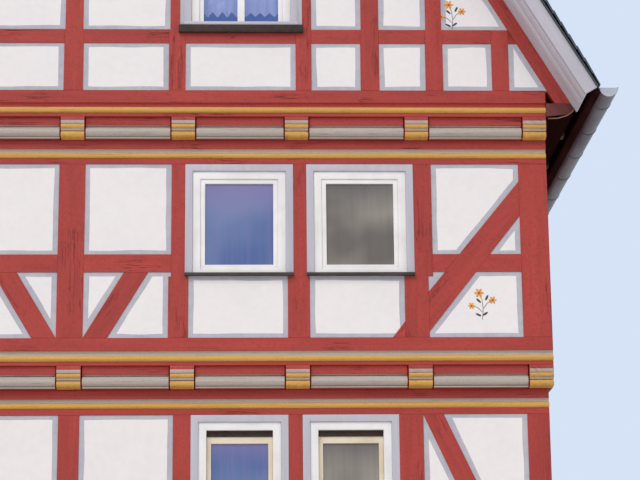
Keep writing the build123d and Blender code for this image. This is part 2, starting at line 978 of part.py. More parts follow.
with BuildPart() as ridge_cap:
    wing = ridge_cap_wing * cos(pitch)
    points = [
        (-wing, roof_z(0, wing)),
        (0, roof_z(0, 0)),
        (wing, roof_z(0, wing)),
        (wing, roof_z(-ridge_cap_thickness, wing)),
        (0, roof_z(-ridge_cap_thickness, 0)),
        (-wing, roof_z(-ridge_cap_thickness, wing)),
    ]
    extrude(outline_face(Plane.XZ.offset(slate_front), points), amount=-2 * slate_front)
ridge_cap.part.label = "ridge_cap"
export_step(ridge_cap.part, "parts/ridge_cap.step")

# Painted boards along the verges, and the boarding under the overhang
with BuildPart() as bargeboards:
    faces = []
    for front_face in (roof_front + bargeboard_thickness, -roof_front):
        for direction in (1, -1):
            points = square_layer(slate_thickness, soffit_under, ridge_gap / 2, direction)
            faces.append(outline_face(Plane.XZ.offset(front_face), points))
    extrude(faces, amount=-bargeboard_thickness)
bargeboards.part.label = "bargeboards"
export_step(bargeboards.part, "parts/bargeboards.step")

with BuildPart() as verge_soffits:
    faces = []
    for front_face in (roof_front, -gable.half_depth):
        for direction in (1, -1):
            points = square_layer(rafter_under, soffit_under, ridge_beam_width / 2, direction)
            faces.append(outline_face(Plane.XZ.offset(front_face), points))
    extrude(faces, amount=-verge_overhang)
    faces = []
    for front_face in (gable.half_depth, -gable.half_depth + timber_depth):
        for direction in (1, -1):
            points = level_layer(rafter_under, soffit_under, ridge_beam_width / 2, eave_level, direction)
            faces.append(outline_face(Plane.XZ.offset(front_face), points))
    extrude(faces, amount=-timber_depth)
verge_soffits.part.label = "verge_soffits"
export_step(verge_soffits.part, "parts/verge_soffits.step")

# Fascias under the rafter feet, and the gutters hung from them
with BuildPart() as eave_fascias:
    outer = roof_x(rafter_top, eave_level)
    span = (outer - fascia_thickness, outer, eave_level - fascia_height, eave_level)
    extrude(wall_faces("front", roof_front, mirrored([span])), amount=-2 * roof_front)
eave_fascias.part.label = "eave_fascias"
export_step(eave_fascias.part, "parts/eave_fascias.step")

gutter_x = slope_end(0)[0] + gutter_radius - gutter_lap
gutter_z = slope_end(0)[1] - gutter_drop


# Faces of a half ring about each gutter's axis, open at the top
def half_rings(place, outer, inner):
    with BuildSketch(Plane.XZ.offset(place)) as outline:
        with Locations((gutter_x, gutter_z)):
            Circle(outer)
            Circle(inner, mode=Mode.SUBTRACT)
        with Locations((gutter_x, gutter_z + outer)):
            Rectangle(2 * outer, 2 * outer, mode=Mode.SUBTRACT)
        mirror(about=Plane.YZ)
    return list(outline.sketch.faces())


with BuildPart() as gutters:
    extrude(half_rings(roof_front, gutter_radius, gutter_radius - gutter_wall), amount=-2 * roof_front)
gutters.part.label = "gutters"
export_step(gutters.part, "parts/gutters.step")


# Iron straps that hold the gutters, each with an arm to the fascia
def bracket_faces(place):
    arm_left, arm_right = roof_x(rafter_top, eave_level), gutter_x - gutter_radius
    with BuildSketch(Plane.XZ.offset(place)) as outline:
        with Locations(((arm_left + arm_right) / 2, gutter_z - bracket_drop + bracket_arm / 2)):
            Rectangle(arm_right - arm_left, bracket_arm)
        with Locations((gutter_x, gutter_z)):
            Circle(gutter_radius + bracket_thickness)
            Circle(gutter_radius, mode=Mode.SUBTRACT)
        with Locations((gutter_x, gutter_z + 2 * gutter_radius)):
            Rectangle(4 * gutter_radius, 4 * gutter_radius, mode=Mode.SUBTRACT)
        mirror(about=Plane.YZ)
    return list(outline.sketch.faces())


with BuildPart() as gutter_brackets:
    faces = []
    for i in range(bracket_count):
        faces += bracket_faces(roof_front - 2 * roof_front * (i + 0.5) / bracket_count + bracket_width / 2)
    extrude(faces, amount=-bracket_width)
gutter_brackets.part.label = "gutter_brackets"
export_step(gutter_brackets.part, "parts/gutter_brackets.step")


# The lights of a window: one, or two with stiles that meet in the middle of a gable window
def window_lights(reach, left, right, stiles):
    if not stiles or reach != gable.half_depth:
        return [(left, right)]
    middle = (left + right) / 2
    return [(left, middle - stiles / 2), (middle + stiles / 2, right)]


# Rings set one inside the other in each window opening
def window_rings(inset, width, recess, foot, stiles=0):
    faces = []
    for side, reach, left, right, low, high in windows:
        low, high = low + foot[0], high - foot[1]
        left, right = left + inset, right - inset
        with BuildSketch(wall_plane(side, reach - recess)) as outline:
            with Locations(((left + right) / 2, (low + high) / 2)):
                Rectangle(right - left, high - low)
            inner_low, inner_high = low + foot[2], high - foot[3]
            for start, end in window_lights(reach, left + width, right - width, stiles):
                with Locations(((start + end) / 2, (inner_low + inner_high) / 2)):
                    Rectangle(end - start, inner_high - inner_low, mode=Mode.SUBTRACT)
        faces += outline.sketch.faces()
    return faces


frame_inset = jamb_width
sash_inset = frame_inset + frame_width
glass_inset = sash_inset + sash_width
frame_low, frame_high = window_sill_height, head_height
sash_low, sash_high = frame_low + frame_width / 2, frame_high + frame_width
glass_low, glass_high = sash_low + sash_width, sash_high + sash_width

with BuildPart() as window_casings:
    rings = window_rings(0, jamb_width, 0, (0, 0, window_sill_height, head_height))
    extrude(rings, amount=-casing_depth)
window_casings.part.label = "window_casings"
export_step(window_casings.part, "parts/window_casings.step")

with BuildPart() as window_frames:
    foot = (frame_low, frame_high, frame_width / 2, frame_width)
    extrude(window_rings(frame_inset, frame_width, frame_recess, foot), amount=-frame_depth)
window_frames.part.label = "window_frames"
export_step(window_frames.part, "parts/window_frames.step")

with BuildPart() as window_sashes:
    foot = (sash_low, sash_high, sash_width, sash_width)
    extrude(window_rings(sash_inset, sash_width, sash_recess, foot, meeting_stiles), amount=-sash_depth)
window_sashes.part.label = "window_sashes"
export_step(window_sashes.part, "parts/window_sashes.step")

with BuildPart() as window_panes:
    faces = []
    for side, reach, left, right, low, high in windows:
        lights = window_lights(reach, left + glass_inset, right - glass_inset, meeting_stiles)
        panes = [light + (low + glass_low, high - glass_high) for light in lights]
        faces += wall_faces(side, reach, panes, glass_recess)
    extrude(faces, amount=-glass_thickness)
window_panes.part.label = "window_panes"
export_step(window_panes.part, "parts/window_panes.step")

with BuildPart() as weatherboards:
    faces = []
    for side, reach, left, right, low, high in windows:
        faces += wall_faces(side, reach, [(left, right, low, low + weatherboard_height)])
    extrude(faces, amount=weatherboard_reach)
weatherboards.part.label = "weatherboards"
export_step(weatherboards.part, "parts/weatherboards.step")

# Rods and lace inside the gable windows
gable_windows = [window for window in windows if window[1] == gable.half_depth]
with BuildPart() as curtain_rods:
    for side, reach, left, right, low, high in gable_windows:
        turn = 1 if side == "front" else -1
        y = -turn * (reach - curtain_setback)
        start = (turn * (left + jamb_width), y, high - sash_high - rod_drop)
        with BuildSketch(Plane(origin=start, z_dir=(turn, 0, 0))):
            Circle(rod_radius)
        extrude(amount=right - left - 2 * jamb_width)
curtain_rods.part.label = "curtain_rods"
export_step(curtain_rods.part, "parts/curtain_rods.step")

with BuildPart() as gable_curtains:
    faces = []
    for side, reach, left, right, low, high in gable_windows:
        top = high - sash_high - rod_drop - rod_radius - curtain_seat
        inset = jamb_width + curtain_side
        cloth = (left + inset, right - inset, top - curtain_height, top)
        faces += wall_faces(side, reach, [cloth], curtain_setback - curtain_thickness / 2)
    extrude(faces, amount=-curtain_thickness)
gable_curtains.part.label = "gable_curtains"
export_step(gable_curtains.part, "parts/gable_curtains.step")
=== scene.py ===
import math
import random

import bmesh
import bpy
import mathutils.noise
from mathutils import Matrix, Vector


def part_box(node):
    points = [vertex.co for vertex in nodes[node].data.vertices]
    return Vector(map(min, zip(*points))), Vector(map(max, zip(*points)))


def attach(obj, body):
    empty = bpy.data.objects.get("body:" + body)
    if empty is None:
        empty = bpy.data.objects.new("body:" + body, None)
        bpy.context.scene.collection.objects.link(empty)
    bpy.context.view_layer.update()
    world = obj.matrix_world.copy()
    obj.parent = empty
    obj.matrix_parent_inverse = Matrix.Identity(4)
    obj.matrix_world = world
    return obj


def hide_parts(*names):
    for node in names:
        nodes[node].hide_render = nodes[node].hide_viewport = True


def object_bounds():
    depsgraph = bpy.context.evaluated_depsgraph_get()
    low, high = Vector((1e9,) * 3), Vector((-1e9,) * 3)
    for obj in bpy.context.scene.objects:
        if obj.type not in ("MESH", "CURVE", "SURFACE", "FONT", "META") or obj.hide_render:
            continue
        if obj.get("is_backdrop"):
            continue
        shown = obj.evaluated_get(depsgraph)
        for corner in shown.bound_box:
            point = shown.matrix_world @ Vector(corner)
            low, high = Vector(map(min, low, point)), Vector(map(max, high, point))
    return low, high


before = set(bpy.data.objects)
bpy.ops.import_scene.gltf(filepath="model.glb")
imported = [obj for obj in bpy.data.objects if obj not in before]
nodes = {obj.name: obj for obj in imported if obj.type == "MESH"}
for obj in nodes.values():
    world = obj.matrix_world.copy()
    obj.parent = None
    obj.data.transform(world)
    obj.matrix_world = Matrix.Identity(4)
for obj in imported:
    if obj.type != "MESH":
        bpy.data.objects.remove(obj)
cadLow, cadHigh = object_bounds()
draw = random.Random(11)
mathutils.noise.seed_set(11)

# Undersides of the sills and wall plates, and how far the walls stand from the middle
house = {
    "sills": (0.45, 3.075, 5.7, 8.325),
    "plates": (2.585, 5.21, 7.835),
    "halfWidths": (4.89, 4.93, 4.97, 4.97),
    "halfDepths": (4.45, 4.6, 4.75, 4.87),
    "jettyReaches": {"first_joists": 4.592, "second_joists": 4.742, "attic_joists": 4.862},
}
red, ochre, grey, bare = range(4)  # places of the paints in a painted timber's list


# Colours and nodes

bench = {}  # the node tree and the shader of the finish that is being mixed


def paint(r, g, b):  # a colour as it looks on screen, made linear
    parts = [c / 255 for c in (r, g, b)]
    return [c / 12.92 if c < 0.04 else ((c + 0.055) / 1.055) ** 2.4 for c in parts] + [1]


def plug(value, socket):  # another node's output is linked, and anything else is set
    if isinstance(value, bpy.types.NodeSocket):
        bench["tree"].links.new(value, socket)
    else:
        socket.default_value = value


def newNode(kind, sockets):
    node = bench["tree"].nodes.new("ShaderNode" + kind)
    for name, value in sockets.items():
        plug(value, node.inputs[name])
    return node


def toShader(name, value):
    plug(value, bench["shader"].inputs[name])


def newMaterial(name, colour, roughness):
    material = bpy.data.materials.new(name)
    material.use_nodes = True
    bench["tree"] = material.node_tree
    bench["shader"] = material.node_tree.nodes["Principled BSDF"]
    toShader("Base Color", colour)
    toShader("Roughness", roughness)
    return material


def coords(output, scale=(1.0, 1.0, 1.0), turn=0.0):
    source = newNode("TexCoord", {})
    sockets = {"Scale": scale, "Rotation": (0.0, 0.0, turn), "Vector": source.outputs[output]}
    return newNode("Mapping", sockets).outputs["Vector"]


def noise(place, scale, detail=2.0, lumps=0.5):
    sockets = {"Scale": scale, "Detail": detail, "Roughness": lumps, "Vector": place}
    return newNode("TexNoise", sockets).outputs["Fac"]


def maths(operation, first, second=0.0):
    node = newNode("Math", {0: first, 1: second})
    node.operation = operation
    return node.outputs[0]


def between(value, low, high, start=0.0, end=1.0):  # clamped rise from start at low to end at high
    sockets = {"From Min": low, "From Max": high, "To Min": start, "To Max": end, "Value": value}
    return newNode("MapRange", sockets).outputs["Result"]


def blendColour(share, first, second):
    node = newNode("Mix", {})
    node.data_type = "RGBA"
    for socket, value in ((0, share), (6, first), (7, second)):
        plug(value, node.inputs[socket])
    return node.outputs[2]


def rough(height, distance, strength=1.0):
    bump = newNode("Bump", {"Strength": strength, "Distance": distance, "Height": height})
    toShader("Normal", bump.outputs["Normal"])


def attribute(name):
    node = newNode("Attribute", {})
    node.attribute_name = name
    return node.outputs["Fac"]


# Finishes

timberFinish = {
    "streaks": (1.3, 16.0, 1.0),  # pattern scale along and across the grain
    "cracks": (0.9, 26.0, 1.0),
    "crackWidth": 0.009,
    "crackShare": 0.56,  # the higher, the fewer cracks
    "crackPlaces": (0.7, 2.2, 1.0),
    "crackColour": paint(66, 22, 20),
    "patches": (0.5, 1.6, 1.0),
    "wear": (5.0, 30.0, 1.0),
    "wearShare": 0.35,
    "mottle": 0.9,
    "mottleScale": 42.0,
    "depth": 0.004,
    "floorBoard": 0.18,
}


def paintedTimber(name, light, dark, cracked=1.0):
    material = newMaterial(name, light, 0.58)
    streaks = noise(coords("UV", timberFinish["streaks"]), 1.0, 4.0, 0.6)
    patches = noise(coords("UV", timberFinish["patches"]), 1.0, 3.0)
    colour = blendColour(between(maths("ADD", streaks, patches), 0.75, 1.3), dark, light)
    grain = noise(coords("UV", timberFinish["cracks"]), 1.0, 5.0, 0.55)
    line = maths("ABSOLUTE", maths("SUBTRACT", grain, 0.5))
    line = between(line, timberFinish["crackWidth"] * 0.3, timberFinish["crackWidth"], 1.0, 0.0)
    where = noise(coords("UV", timberFinish["crackPlaces"]), 1.7, 2.0)
    where = between(where, timberFinish["crackShare"], timberFinish["crackShare"] + 0.05)
    crack = maths("MULTIPLY", maths("MULTIPLY", line, where), cracked)
    colour = blendColour(crack, colour, timberFinish["crackColour"])
    worn = noise(coords("UV", timberFinish["wear"]), 1.0, 3.0, 0.7)
    worn = between(worn, 0.66, 0.74, 0.0, timberFinish["wearShare"])
    paler = [min(1.0, c * 1.25 + 0.03) for c in light[:3]] + [1]
    deeper = [c * 0.6 for c in dark[:3]] + [1]
    colour = blendColour(worn, colour, paler)
    mottle = noise(coords("Object"), timberFinish["mottleScale"], 3.0, 0.7)
    mottle = between(mottle, 0.5, 0.7, 0.0, timberFinish["mottle"] * cracked)
    toShader("Base Color", blendColour(mottle, colour, deeper))
    rough(maths("SUBTRACT", maths("MULTIPLY", streaks, 0.35), crack), timberFinish["depth"])
    return material


redTimber = paintedTimber("redTimber", paint(182, 60, 50), paint(160, 48, 40), 0.6)
ochreTimber = paintedTimber("ochreTimber", paint(224, 176, 92), paint(200, 146, 62), 0.35)
greyTimber = paintedTimber("greyTimber", paint(192, 180, 170), paint(174, 164, 156), 0.3)
# the red timber paint made darker for the eave beams' ends: painted shade under the eave
shadedRedTimber = paintedTimber("shadedRedTimber", paint(122, 56, 54), paint(98, 44, 42), 0.5)
# dark brown paint made near black: painted shade on the eave beams' undersides and on the fascias
shadedSoffitTimber = paintedTimber("shadedSoffitTimber", paint(44, 20, 20), paint(30, 14, 14), 0.4)
toShader("Specular IOR Level", 0.0)  # no gloss, so these painted-shade undersides don't mirror the ground
paleBoards = paintedTimber("paleBoards", paint(198, 196, 206), paint(184, 182, 194), 0.1)
soffitBoards = paintedTimber("soffitBoards", paint(218, 222, 234), paint(204, 208, 222), 0.1)
casingPaint = paintedTimber("casingPaint", paint(196, 195, 206), paint(186, 185, 197), 0.08)
doorTimber = paintedTimber("doorTimber", paint(112, 70, 48), paint(84, 50, 34), 0.7)


def plainTimber(name, light, dark):
    material = newMaterial(name, light, 0.75)
    streaks = noise(coords("Object", (9.0, 1.2, 9.0)), 2.0, 4.0, 0.6)
    toShader("Base Color", blendColour(between(streaks, 0.3, 0.7), dark, light))
    rough(streaks, 0.002)
    return material


bareTimber = plainTimber("bareTimber", paint(150, 122, 94), paint(108, 84, 62))
brownBoards = plainTimber("brownBoards", paint(66, 46, 38), paint(42, 30, 26))
# dark maroon: painted shade on the underside of the roof boards, inside the house and under the eave
shadedRoofUnderside = plainTimber("shadedRoofUnderside", paint(56, 30, 28), paint(38, 20, 20))
toShader("Specular IOR Level", 0.0)


def floorTimber():
    material = newMaterial("floorBoards", paint(160, 130, 98), 0.6)
    across = newNode("SeparateXYZ", {0: coords("Object")}).outputs["X"]
    board = maths("FRACT", maths("DIVIDE", across, timberFinish["floorBoard"]))
    joint = between(maths("ABSOLUTE", maths("SUBTRACT", board, 0.5)), 0.48, 0.495)
    streaks = noise(coords("Object", (11.0, 1.0, 1.0)), 2.0, 4.0)
    colour = blendColour(between(streaks, 0.3, 0.7), paint(132, 104, 76), paint(170, 140, 108))
    toShader("Base Color", blendColour(joint, colour, paint(52, 40, 30)))
    rough(maths("SUBTRACT", streaks, joint), 0.003)
    return material


floorBoards = floorTimber()

plasterFinish = {
    "white": paint(240, 236, 237),
    "shade": paint(235, 231, 233),
    "border": paint(190, 189, 198),
    "borderShade": paint(176, 176, 188),
    "sideBorder": 0.055,
    "flatBorder": 0.043,
    "shortestSide": 0.07,
    "leastWhite": 0.06,
    "sliver": 0.012,  # gaps this narrow are painted like the timber
    "faceSlack": 0.03,
    "brushStep": 0.08,
    "unevenness": 0.011,
}


def limewash(name, light, dark):
    material = newMaterial(name, light, 0.85)
    clouds = noise(coords("Object"), 2.2, 4.0, 0.6)
    trowel = noise(coords("Object"), 14.0, 4.0, 0.6)
    tone = maths("MULTIPLY", maths("ADD", clouds, trowel), 0.5)
    toShader("Base Color", blendColour(between(tone, 0.38, 0.6), dark, light))
    rough(maths("ADD", clouds, maths("MULTIPLY", trowel, 0.25)), 0.006, 0.7)
    return material


panelWhite = limewash("panelWhite", plasterFinish["white"], plasterFinish["shade"])
panelBorder = limewash("panelBorder", plasterFinish["border"], plasterFinish["borderShade"])


def stoneFinish(name, light, dark):
    material = newMaterial(name, light, 0.9)
    beds = noise(coords("Object", (1.0, 1.0, 3.0)), 1.6, 4.0)
    grains = noise(coords("Object"), 40.0, 5.0, 0.7)
    tone = maths("ADD", beds, maths("MULTIPLY", maths("SUBTRACT", grains, 0.5), 0.5))
    tone = maths("ADD", tone, maths("MULTIPLY", attribute("blockTone"), 0.25))
    toShader("Base Color", blendColour(between(tone, 0.35, 0.85), dark, light))
    rough(maths("ADD", grains, beds), 0.01, 0.8)
    return material


sandstone = stoneFinish("sandstone", paint(186, 170, 150), paint(138, 120, 102))
mortar = stoneFinish("mortar", paint(160, 154, 146), paint(132, 126, 118))


def slateFinish():
    material = newMaterial("slateFinish", paint(66, 74, 80), 0.45)
    tone = attribute("slateTone")
    layers = noise(coords("Object", (6.0, 2.0, 6.0)), 3.0, 5.0, 0.6)
    share = maths("ADD", tone, maths("MULTIPLY", maths("SUBTRACT", layers, 0.5), 0.7))
    colour = blendColour(between(share, -0.2, 1.2), paint(48, 56, 62), paint(88, 96, 104))
    moss = noise(coords("Object"), 0.8, 5.0, 0.6)
    toShader("Base Color", blendColour(between(moss, 0.56, 0.72, 0.0, 0.4), colour, paint(88, 92, 74)))
    toShader("Roughness", between(layers, 0.3, 0.7, 0.38, 0.62))
    rough(layers, 0.004)
    return material


slateStone = slateFinish()


def metalFinish(name, light, dark, metallic, roughness):
    material = newMaterial(name, light, roughness)
    toShader("Metallic", metallic)
    stain = noise(coords("Object", (2.0, 1.0, 3.0)), 1.5, 5.0, 0.65)
    fine = noise(coords("Object"), 60.0, 3.0)
    toShader("Base Color", blendColour(between(stain, 0.35, 0.65), dark, light))
    toShader("Roughness", between(fine, 0.3, 0.7, roughness - 0.08, roughness + 0.1))
    rough(stain, 0.002, 0.5)
    return material


zinc = metalFinish("zinc", paint(112, 114, 126), paint(84, 86, 98), 0.3, 0.42)
brightZinc = metalFinish("brightZinc", paint(188, 194, 204), paint(158, 164, 176), 0.15, 0.4)
ridgeLead = metalFinish("ridgeLead", paint(118, 122, 128), paint(88, 92, 98), 0.3, 0.55)
darkSheet = metalFinish("darkSheet", paint(74, 64, 58), paint(48, 40, 36), 0.15, 0.5)
ironwork = metalFinish("ironwork", paint(52, 50, 50), paint(34, 32, 32), 0.5, 0.5)


def joineryPaint(name, light, dark):
    material = newMaterial(name, light, 0.35)
    soft = noise(coords("Object"), 3.0, 4.0, 0.6)
    brush = noise(coords("UV", (2.0, 60.0, 1.0)), 1.0, 3.0)
    toShader("Base Color", blendColour(between(soft, 0.35, 0.6), dark, light))
    rough(brush, 0.0008, 0.6)
    return material


whitePaint = joineryPaint("whitePaint", paint(243, 241, 241), paint(233, 230, 230))
creamPaint = joineryPaint("creamPaint", paint(236, 224, 200), paint(222, 206, 178))


# the panes' colours are painted reflection: a blue, clouded sky in some, a shaded roof in others, a pale blue
# sky in the gable's
def paneGlass(name, deep, pale, top, streaks, alpha):
    material = newMaterial(name, deep, 0.05)
    toShader("IOR", 1.5)
    toShader("Alpha", alpha)
    clouds = noise(coords("Object", (1.2, 1.2, 1.2), 0.5), 1.0, 2.0, 0.4)
    colour = blendColour(between(clouds, 0.36, 0.64), deep, pale)
    folds = noise(coords("UV", (9.0, 0.5, 1.0)), 1.0, 3.0, 0.6)
    colour = blendColour(between(folds, 0.45, 0.75, 0.0, streaks), colour, top)
    height = newNode("SeparateXYZ", {0: coords("UV")}).outputs["Y"]
    # lighter or darker towards the top of each pane: painted reflection
    reflectionFade = between(maths("ADD", height, maths("MULTIPLY", clouds, 0.3)), 0.78, 1.12)
    toShader("Base Color", blendColour(maths("MULTIPLY", reflectionFade, 0.7), colour, top))
    rough(noise(coords("Object"), 1.4, 1.0), 0.004, 0.3)
    return material


skyReflectionPane = paneGlass("skyReflectionPane", paint(84, 108, 164), paint(122, 138, 182), paint(140, 128, 180), 0.35, 0.93)
shadedRoofReflectionPane = paneGlass("shadedRoofReflectionPane", paint(112, 106, 100), paint(178, 170, 160), paint(86, 84, 84), 0.25, 0.93)
atticPane = paneGlass("atticPane", paint(112, 144, 228), paint(126, 156, 236), paint(126, 150, 224), 0.1, 0.32)

laceFinish = {"netScale": 46.0, "flowerScale": 9.0, "thinnest": 0.5}


def laceCloth():
    material = newMaterial("laceCloth", paint(250, 250, 252), 0.9)
    toShader("Sheen Weight", 0.3)
    place = coords("UV")
    sockets = {"Scale": laceFinish["netScale"], "Randomness": 0.2, "Vector": place}
    holes = newNode("TexVoronoi", sockets).outputs["Distance"]
    flowers = newNode("TexVoronoi", {"Scale": laceFinish["flowerScale"], "Vector": place}).outputs["Distance"]
    closed = between(flowers, 0.26, 0.34, 1.0, 0.0)
    net = between(holes, 0.26, 0.36)
    toShader("Alpha", between(maths("ADD", net, closed), 0.2, 0.9, laceFinish["thinnest"], 1.0))
    rough(net, 0.0006)
    return material


lace = laceCloth()
print("finishes made")


# Shared mesh steps

standUp = Matrix.Rotation(math.pi / 2, 4, "X")


def workCopy(name, joinFlats=True):  # a merged copy of a CAD node, with its flat triangles joined again
    bm = bmesh.new()
    bm.from_mesh(nodes[name].data)
    bmesh.ops.remove_doubles(bm, verts=bm.verts, dist=0.0001)
    if joinFlats:
        bmesh.ops.dissolve_limit(bm, angle_limit=math.radians(0.5), verts=bm.verts, edges=bm.edges)
    bm.normal_update()
    return bm


def edgesOf(verts):
    return list(dict.fromkeys(e for v in verts for e in v.link_edges))


def facesOf(verts):
    return list(dict.fromkeys(f for v in verts for f in v.link_faces))


def softenEdges(bm, width, segments=2, sharpest=30):
    edges = [e for e in bm.edges if e.is_manifold and e.calc_face_angle(0) > math.radians(sharpest)]
    bmesh.ops.bevel(bm, geom=edges, offset=width, offset_type="OFFSET", segments=segments, profile=0.5,
                    affect="EDGES", clamp_overlap=False, material=-1)


def cutAcross(bm, place, normal):
    bmesh.ops.bisect_plane(bm, geom=bm.verts[:] + bm.edges[:] + bm.faces[:], dist=0.0001, plane_co=place,
                           plane_no=normal)


def islands(bm):
    seen, groups = set(), []
    for start in bm.verts:
        if start in seen:
            continue
        group, queue = [], [start]
        seen.add(start)
        while queue:
            vert = queue.pop()
            group.append(vert)
            for edge in vert.link_edges:
                other = edge.other_vert(vert)
                if other not in seen:
                    seen.add(other)
                    queue.append(other)
        groups.append(group)
    return groups


def extent(verts):
    low = Vector([min(v.co[i] for v in verts) for i in range(3)])
    high = Vector([max(v.co[i] for v in verts) for i in range(3)])
    return low, high


def inStorey(bm, level):  # the loose parts that stand in one storey, each with its extent
    tops = house["sills"][1:] + (cadHigh[2],)
    for group in islands(bm):
        low, high = extent(group)
        if house["sills"][level] < low.z < tops[level]:
            yield group, low, high


def lengthwise(verts):  # along the longest edge, chosen and pointed the same way in every run
    def rank(edge):
        middle = edge.verts[0].co + edge.verts[1].co
        return [round(n, 4) for n in (edge.calc_length(), *middle)]

    start, end = (v.co for v in max(edgesOf(verts), key=rank).verts)
    along = (end - start).normalized()
    return along if along.dot(Vector((1, 2, 3))) > 0 else -along


def grainMap(bm):  # a map in metres that runs along each timber, with its own start for each
    layer = bm.loops.layers.uv.verify()
    for group in islands(bm):
        timberAlong = lengthwise(group)
        start = Vector((draw.uniform(0, 40), draw.uniform(0, 40)))
        for face in facesOf(group):
            along, across = timberAlong, face.normal.cross(timberAlong)
            if across.length < 0.4:  # an end face
                across = face.normal.orthogonal()
                along = face.normal.cross(across).normalized()
            across.normalize()
            for loop in face.loops:
                place = loop.vert.co
                loop[layer].uv = start + Vector((place.dot(along), place.dot(across)))


def finishPiece(bm, name, materials, smoothAngle=35):
    mesh = bpy.data.meshes.new(name)
    bm.to_mesh(mesh)
    bm.free()
    for material in materials:
        mesh.materials.append(material)
    mesh.polygons.foreach_set("use_smooth", [True] * len(mesh.polygons))
    mesh.set_sharp_from_angle(angle=math.radians(smoothAngle))
    piece = bpy.data.objects.new(name, mesh)
    bpy.context.scene.collection.objects.link(piece)
    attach(piece, "root")
    return piece


def finishNode(bm, node, materials, name=None, smoothAngle=35):  # a piece in place of a CAD node
    first, *others = node.split("_")
    name = name or first + "".join(word.capitalize() for word in others)
    piece = finishPiece(bm, name, materials, smoothAngle)
    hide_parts(node)
    return piece


def dress(nodeName, material):  # a CAD node that stays as it is, with a worked material
    data = nodes[nodeName].data
    data.materials.clear()
    data.materials.append(material)


def storeyOf(height):
    return max(i for i, low in enumerate(house["sills"]) if height > low - 0.25 or i == 0)


def boxPart(bm, low, high, bevel=0.0, segments=1):
    made = bmesh.ops.create_cube(bm, size=1)["verts"]
    bmesh.ops.scale(bm, vec=[b - a for a, b in zip(low, high)], verts=made)
    bmesh.ops.translate(bm, vec=[(a + b) / 2 for a, b in zip(low, high)], verts=made)
    if bevel:
        result = bmesh.ops.bevel(bm, geom=edgesOf(made), offset=bevel, offset_type="OFFSET", segments=segments,
                                 profile=0.5, affect="EDGES", clamp_overlap=True, material=-1)
        made = list(dict.fromkeys(v for f in result["faces"] for v in f.verts))
    return made


def cornerParts(outline, front, depth):  # a flat outline given its depth, at each corner of the house
    bm = bmesh.new()
    for back in (0, 1):
        for side in (1, -1):
            verts = [bm.verts.new((side * x, -front, z)) for x, z in outline]
            grown = bmesh.ops.extrude_face_region(bm, geom=[bm.faces.new(verts)])["geom"]
            grown = [v for v in grown if isinstance(v, bmesh.types.BMVert)]
            bmesh.ops.translate(bm, vec=(0, depth, 0), verts=grown)
            bmesh.ops.transform(bm, matrix=Matrix.Rotation(back * math.pi, 4, "Z"), verts=verts + grown)
    bmesh.ops.recalc_face_normals(bm, faces=bm.faces)
    return bm


# Wall timbers

timbers = {"edge": 0.0025, "segments": 1}
wallTimbers = ("ground_posts", "first_posts", "second_posts", "rails", "braces", "gable_posts", "gable_rails",
               "gable_collars", "gable_rafters", "door_frame")
wallTimberNames = {"rails": "wallRails", "braces": "wallBraces"}
for node in wallTimbers:
    bm = workCopy(node)
    softenEdges(bm, timbers["edge"], timbers["segments"])
    grainMap(bm)
    finishNode(bm, node, [redTimber], wallTimberNames.get(node))

# Small knees at the feet of the posts beside the outer windows
knee = {"outline": ((3.45, 5.985), (3.45, 6.155), (3.32, 5.985)), "front": 4.749, "depth": 0.12}
bm = cornerParts(knee["outline"], knee["front"], knee["depth"])
softenEdges(bm, timbers["edge"], timbers["segments"])
grainMap(bm)
finishPiece(bm, "footKnees", [redTimber])
print("wall timbers made")


# Moulded timbers, painted by the height of each part of the profile

mouldings = {
    "sills": ((0.038, 0.102, ochre), (0.102, 0.147, grey)),  # low and high of each band, and its paint
    "gableSills": ((0.038, 0.102, ochre),),
    "plates": ((0.062, 0.128, ochre), (0.128, 0.165, grey)),
    "fillers": ((0.017, 0.139, grey),),
    "joists": ((0.15, 0.187, grey), (0.103, 0.15, ochre), (0.08, 0.103, grey), (0.004, 0.08, ochre)),
    # heights of the profile as first cut, and as worn and painted
    "fillerLevels": ((0.0, 0.0), (0.045, 0.018), (0.155, 0.128), (0.165, 0.14), (0.23, 0.23)),
    "joistLevels": ((0.0, 0.0), (0.05, 0.004), (0.133, 0.08), (0.163, 0.103), (0.205, 0.15), (0.22, 0.187),
                    (0.23, 0.23)),
    "profileDepth": 0.07,
    "edge": 0.003,
    "sharpest": 40,
    "endJoint": 0.009,
}
paints = [redTimber, ochreTimber, greyTimber, bareTimber]


def softenMoulding(bm, width=mouldings["edge"]):
    softenEdges(bm, width, 1, mouldings["sharpest"])


def paintBands(bm, bottoms, bands):
    for face in bm.faces:
        height = face.calc_center_median().z
        if height < bottoms[0] - 0.01:
            continue
        level = max(i for i, low in enumerate(bottoms) if height > low - 0.01)
        for low, high, colour in (mouldings["gableSills"] if level == 3 else bands):
            if low <= height - bottoms[level] <= high:
                face.material_index = colour


def inProfile(face, axis):  # whether a face belongs to the moulded outside of a timber along a wall
    centre = face.calc_center_median()
    wall = house[("halfWidths", "halfDepths")[axis]][storeyOf(centre.z)]
    return abs(centre[axis]) > wall - mouldings["profileDepth"] and abs(face.normal[1 - axis]) < 0.5


def wornHeights(verts, levels):
    for vert in verts:
        bottom = max(low for low in joistBottoms if vert.co.z > low - 0.01)
        height = vert.co.z - bottom
        for (low, wornLow), (high, wornHigh) in zip(levels, levels[1:]):
            if height <= high:
                break
        vert.co.z = bottom + wornLow + (wornHigh - wornLow) * (height - low) / (high - low)


for node in ("front_sills", "side_sills", "front_plates", "side_plates"):
    side, kind = node.split("_")
    bm = workCopy(node)
    softenMoulding(bm)
    paintBands(bm, house[kind], mouldings[kind])
    for face in bm.faces:
        if not inProfile(face, int(side == "front")):
            face.material_index = red
    grainMap(bm)
    finishNode(bm, node, paints)

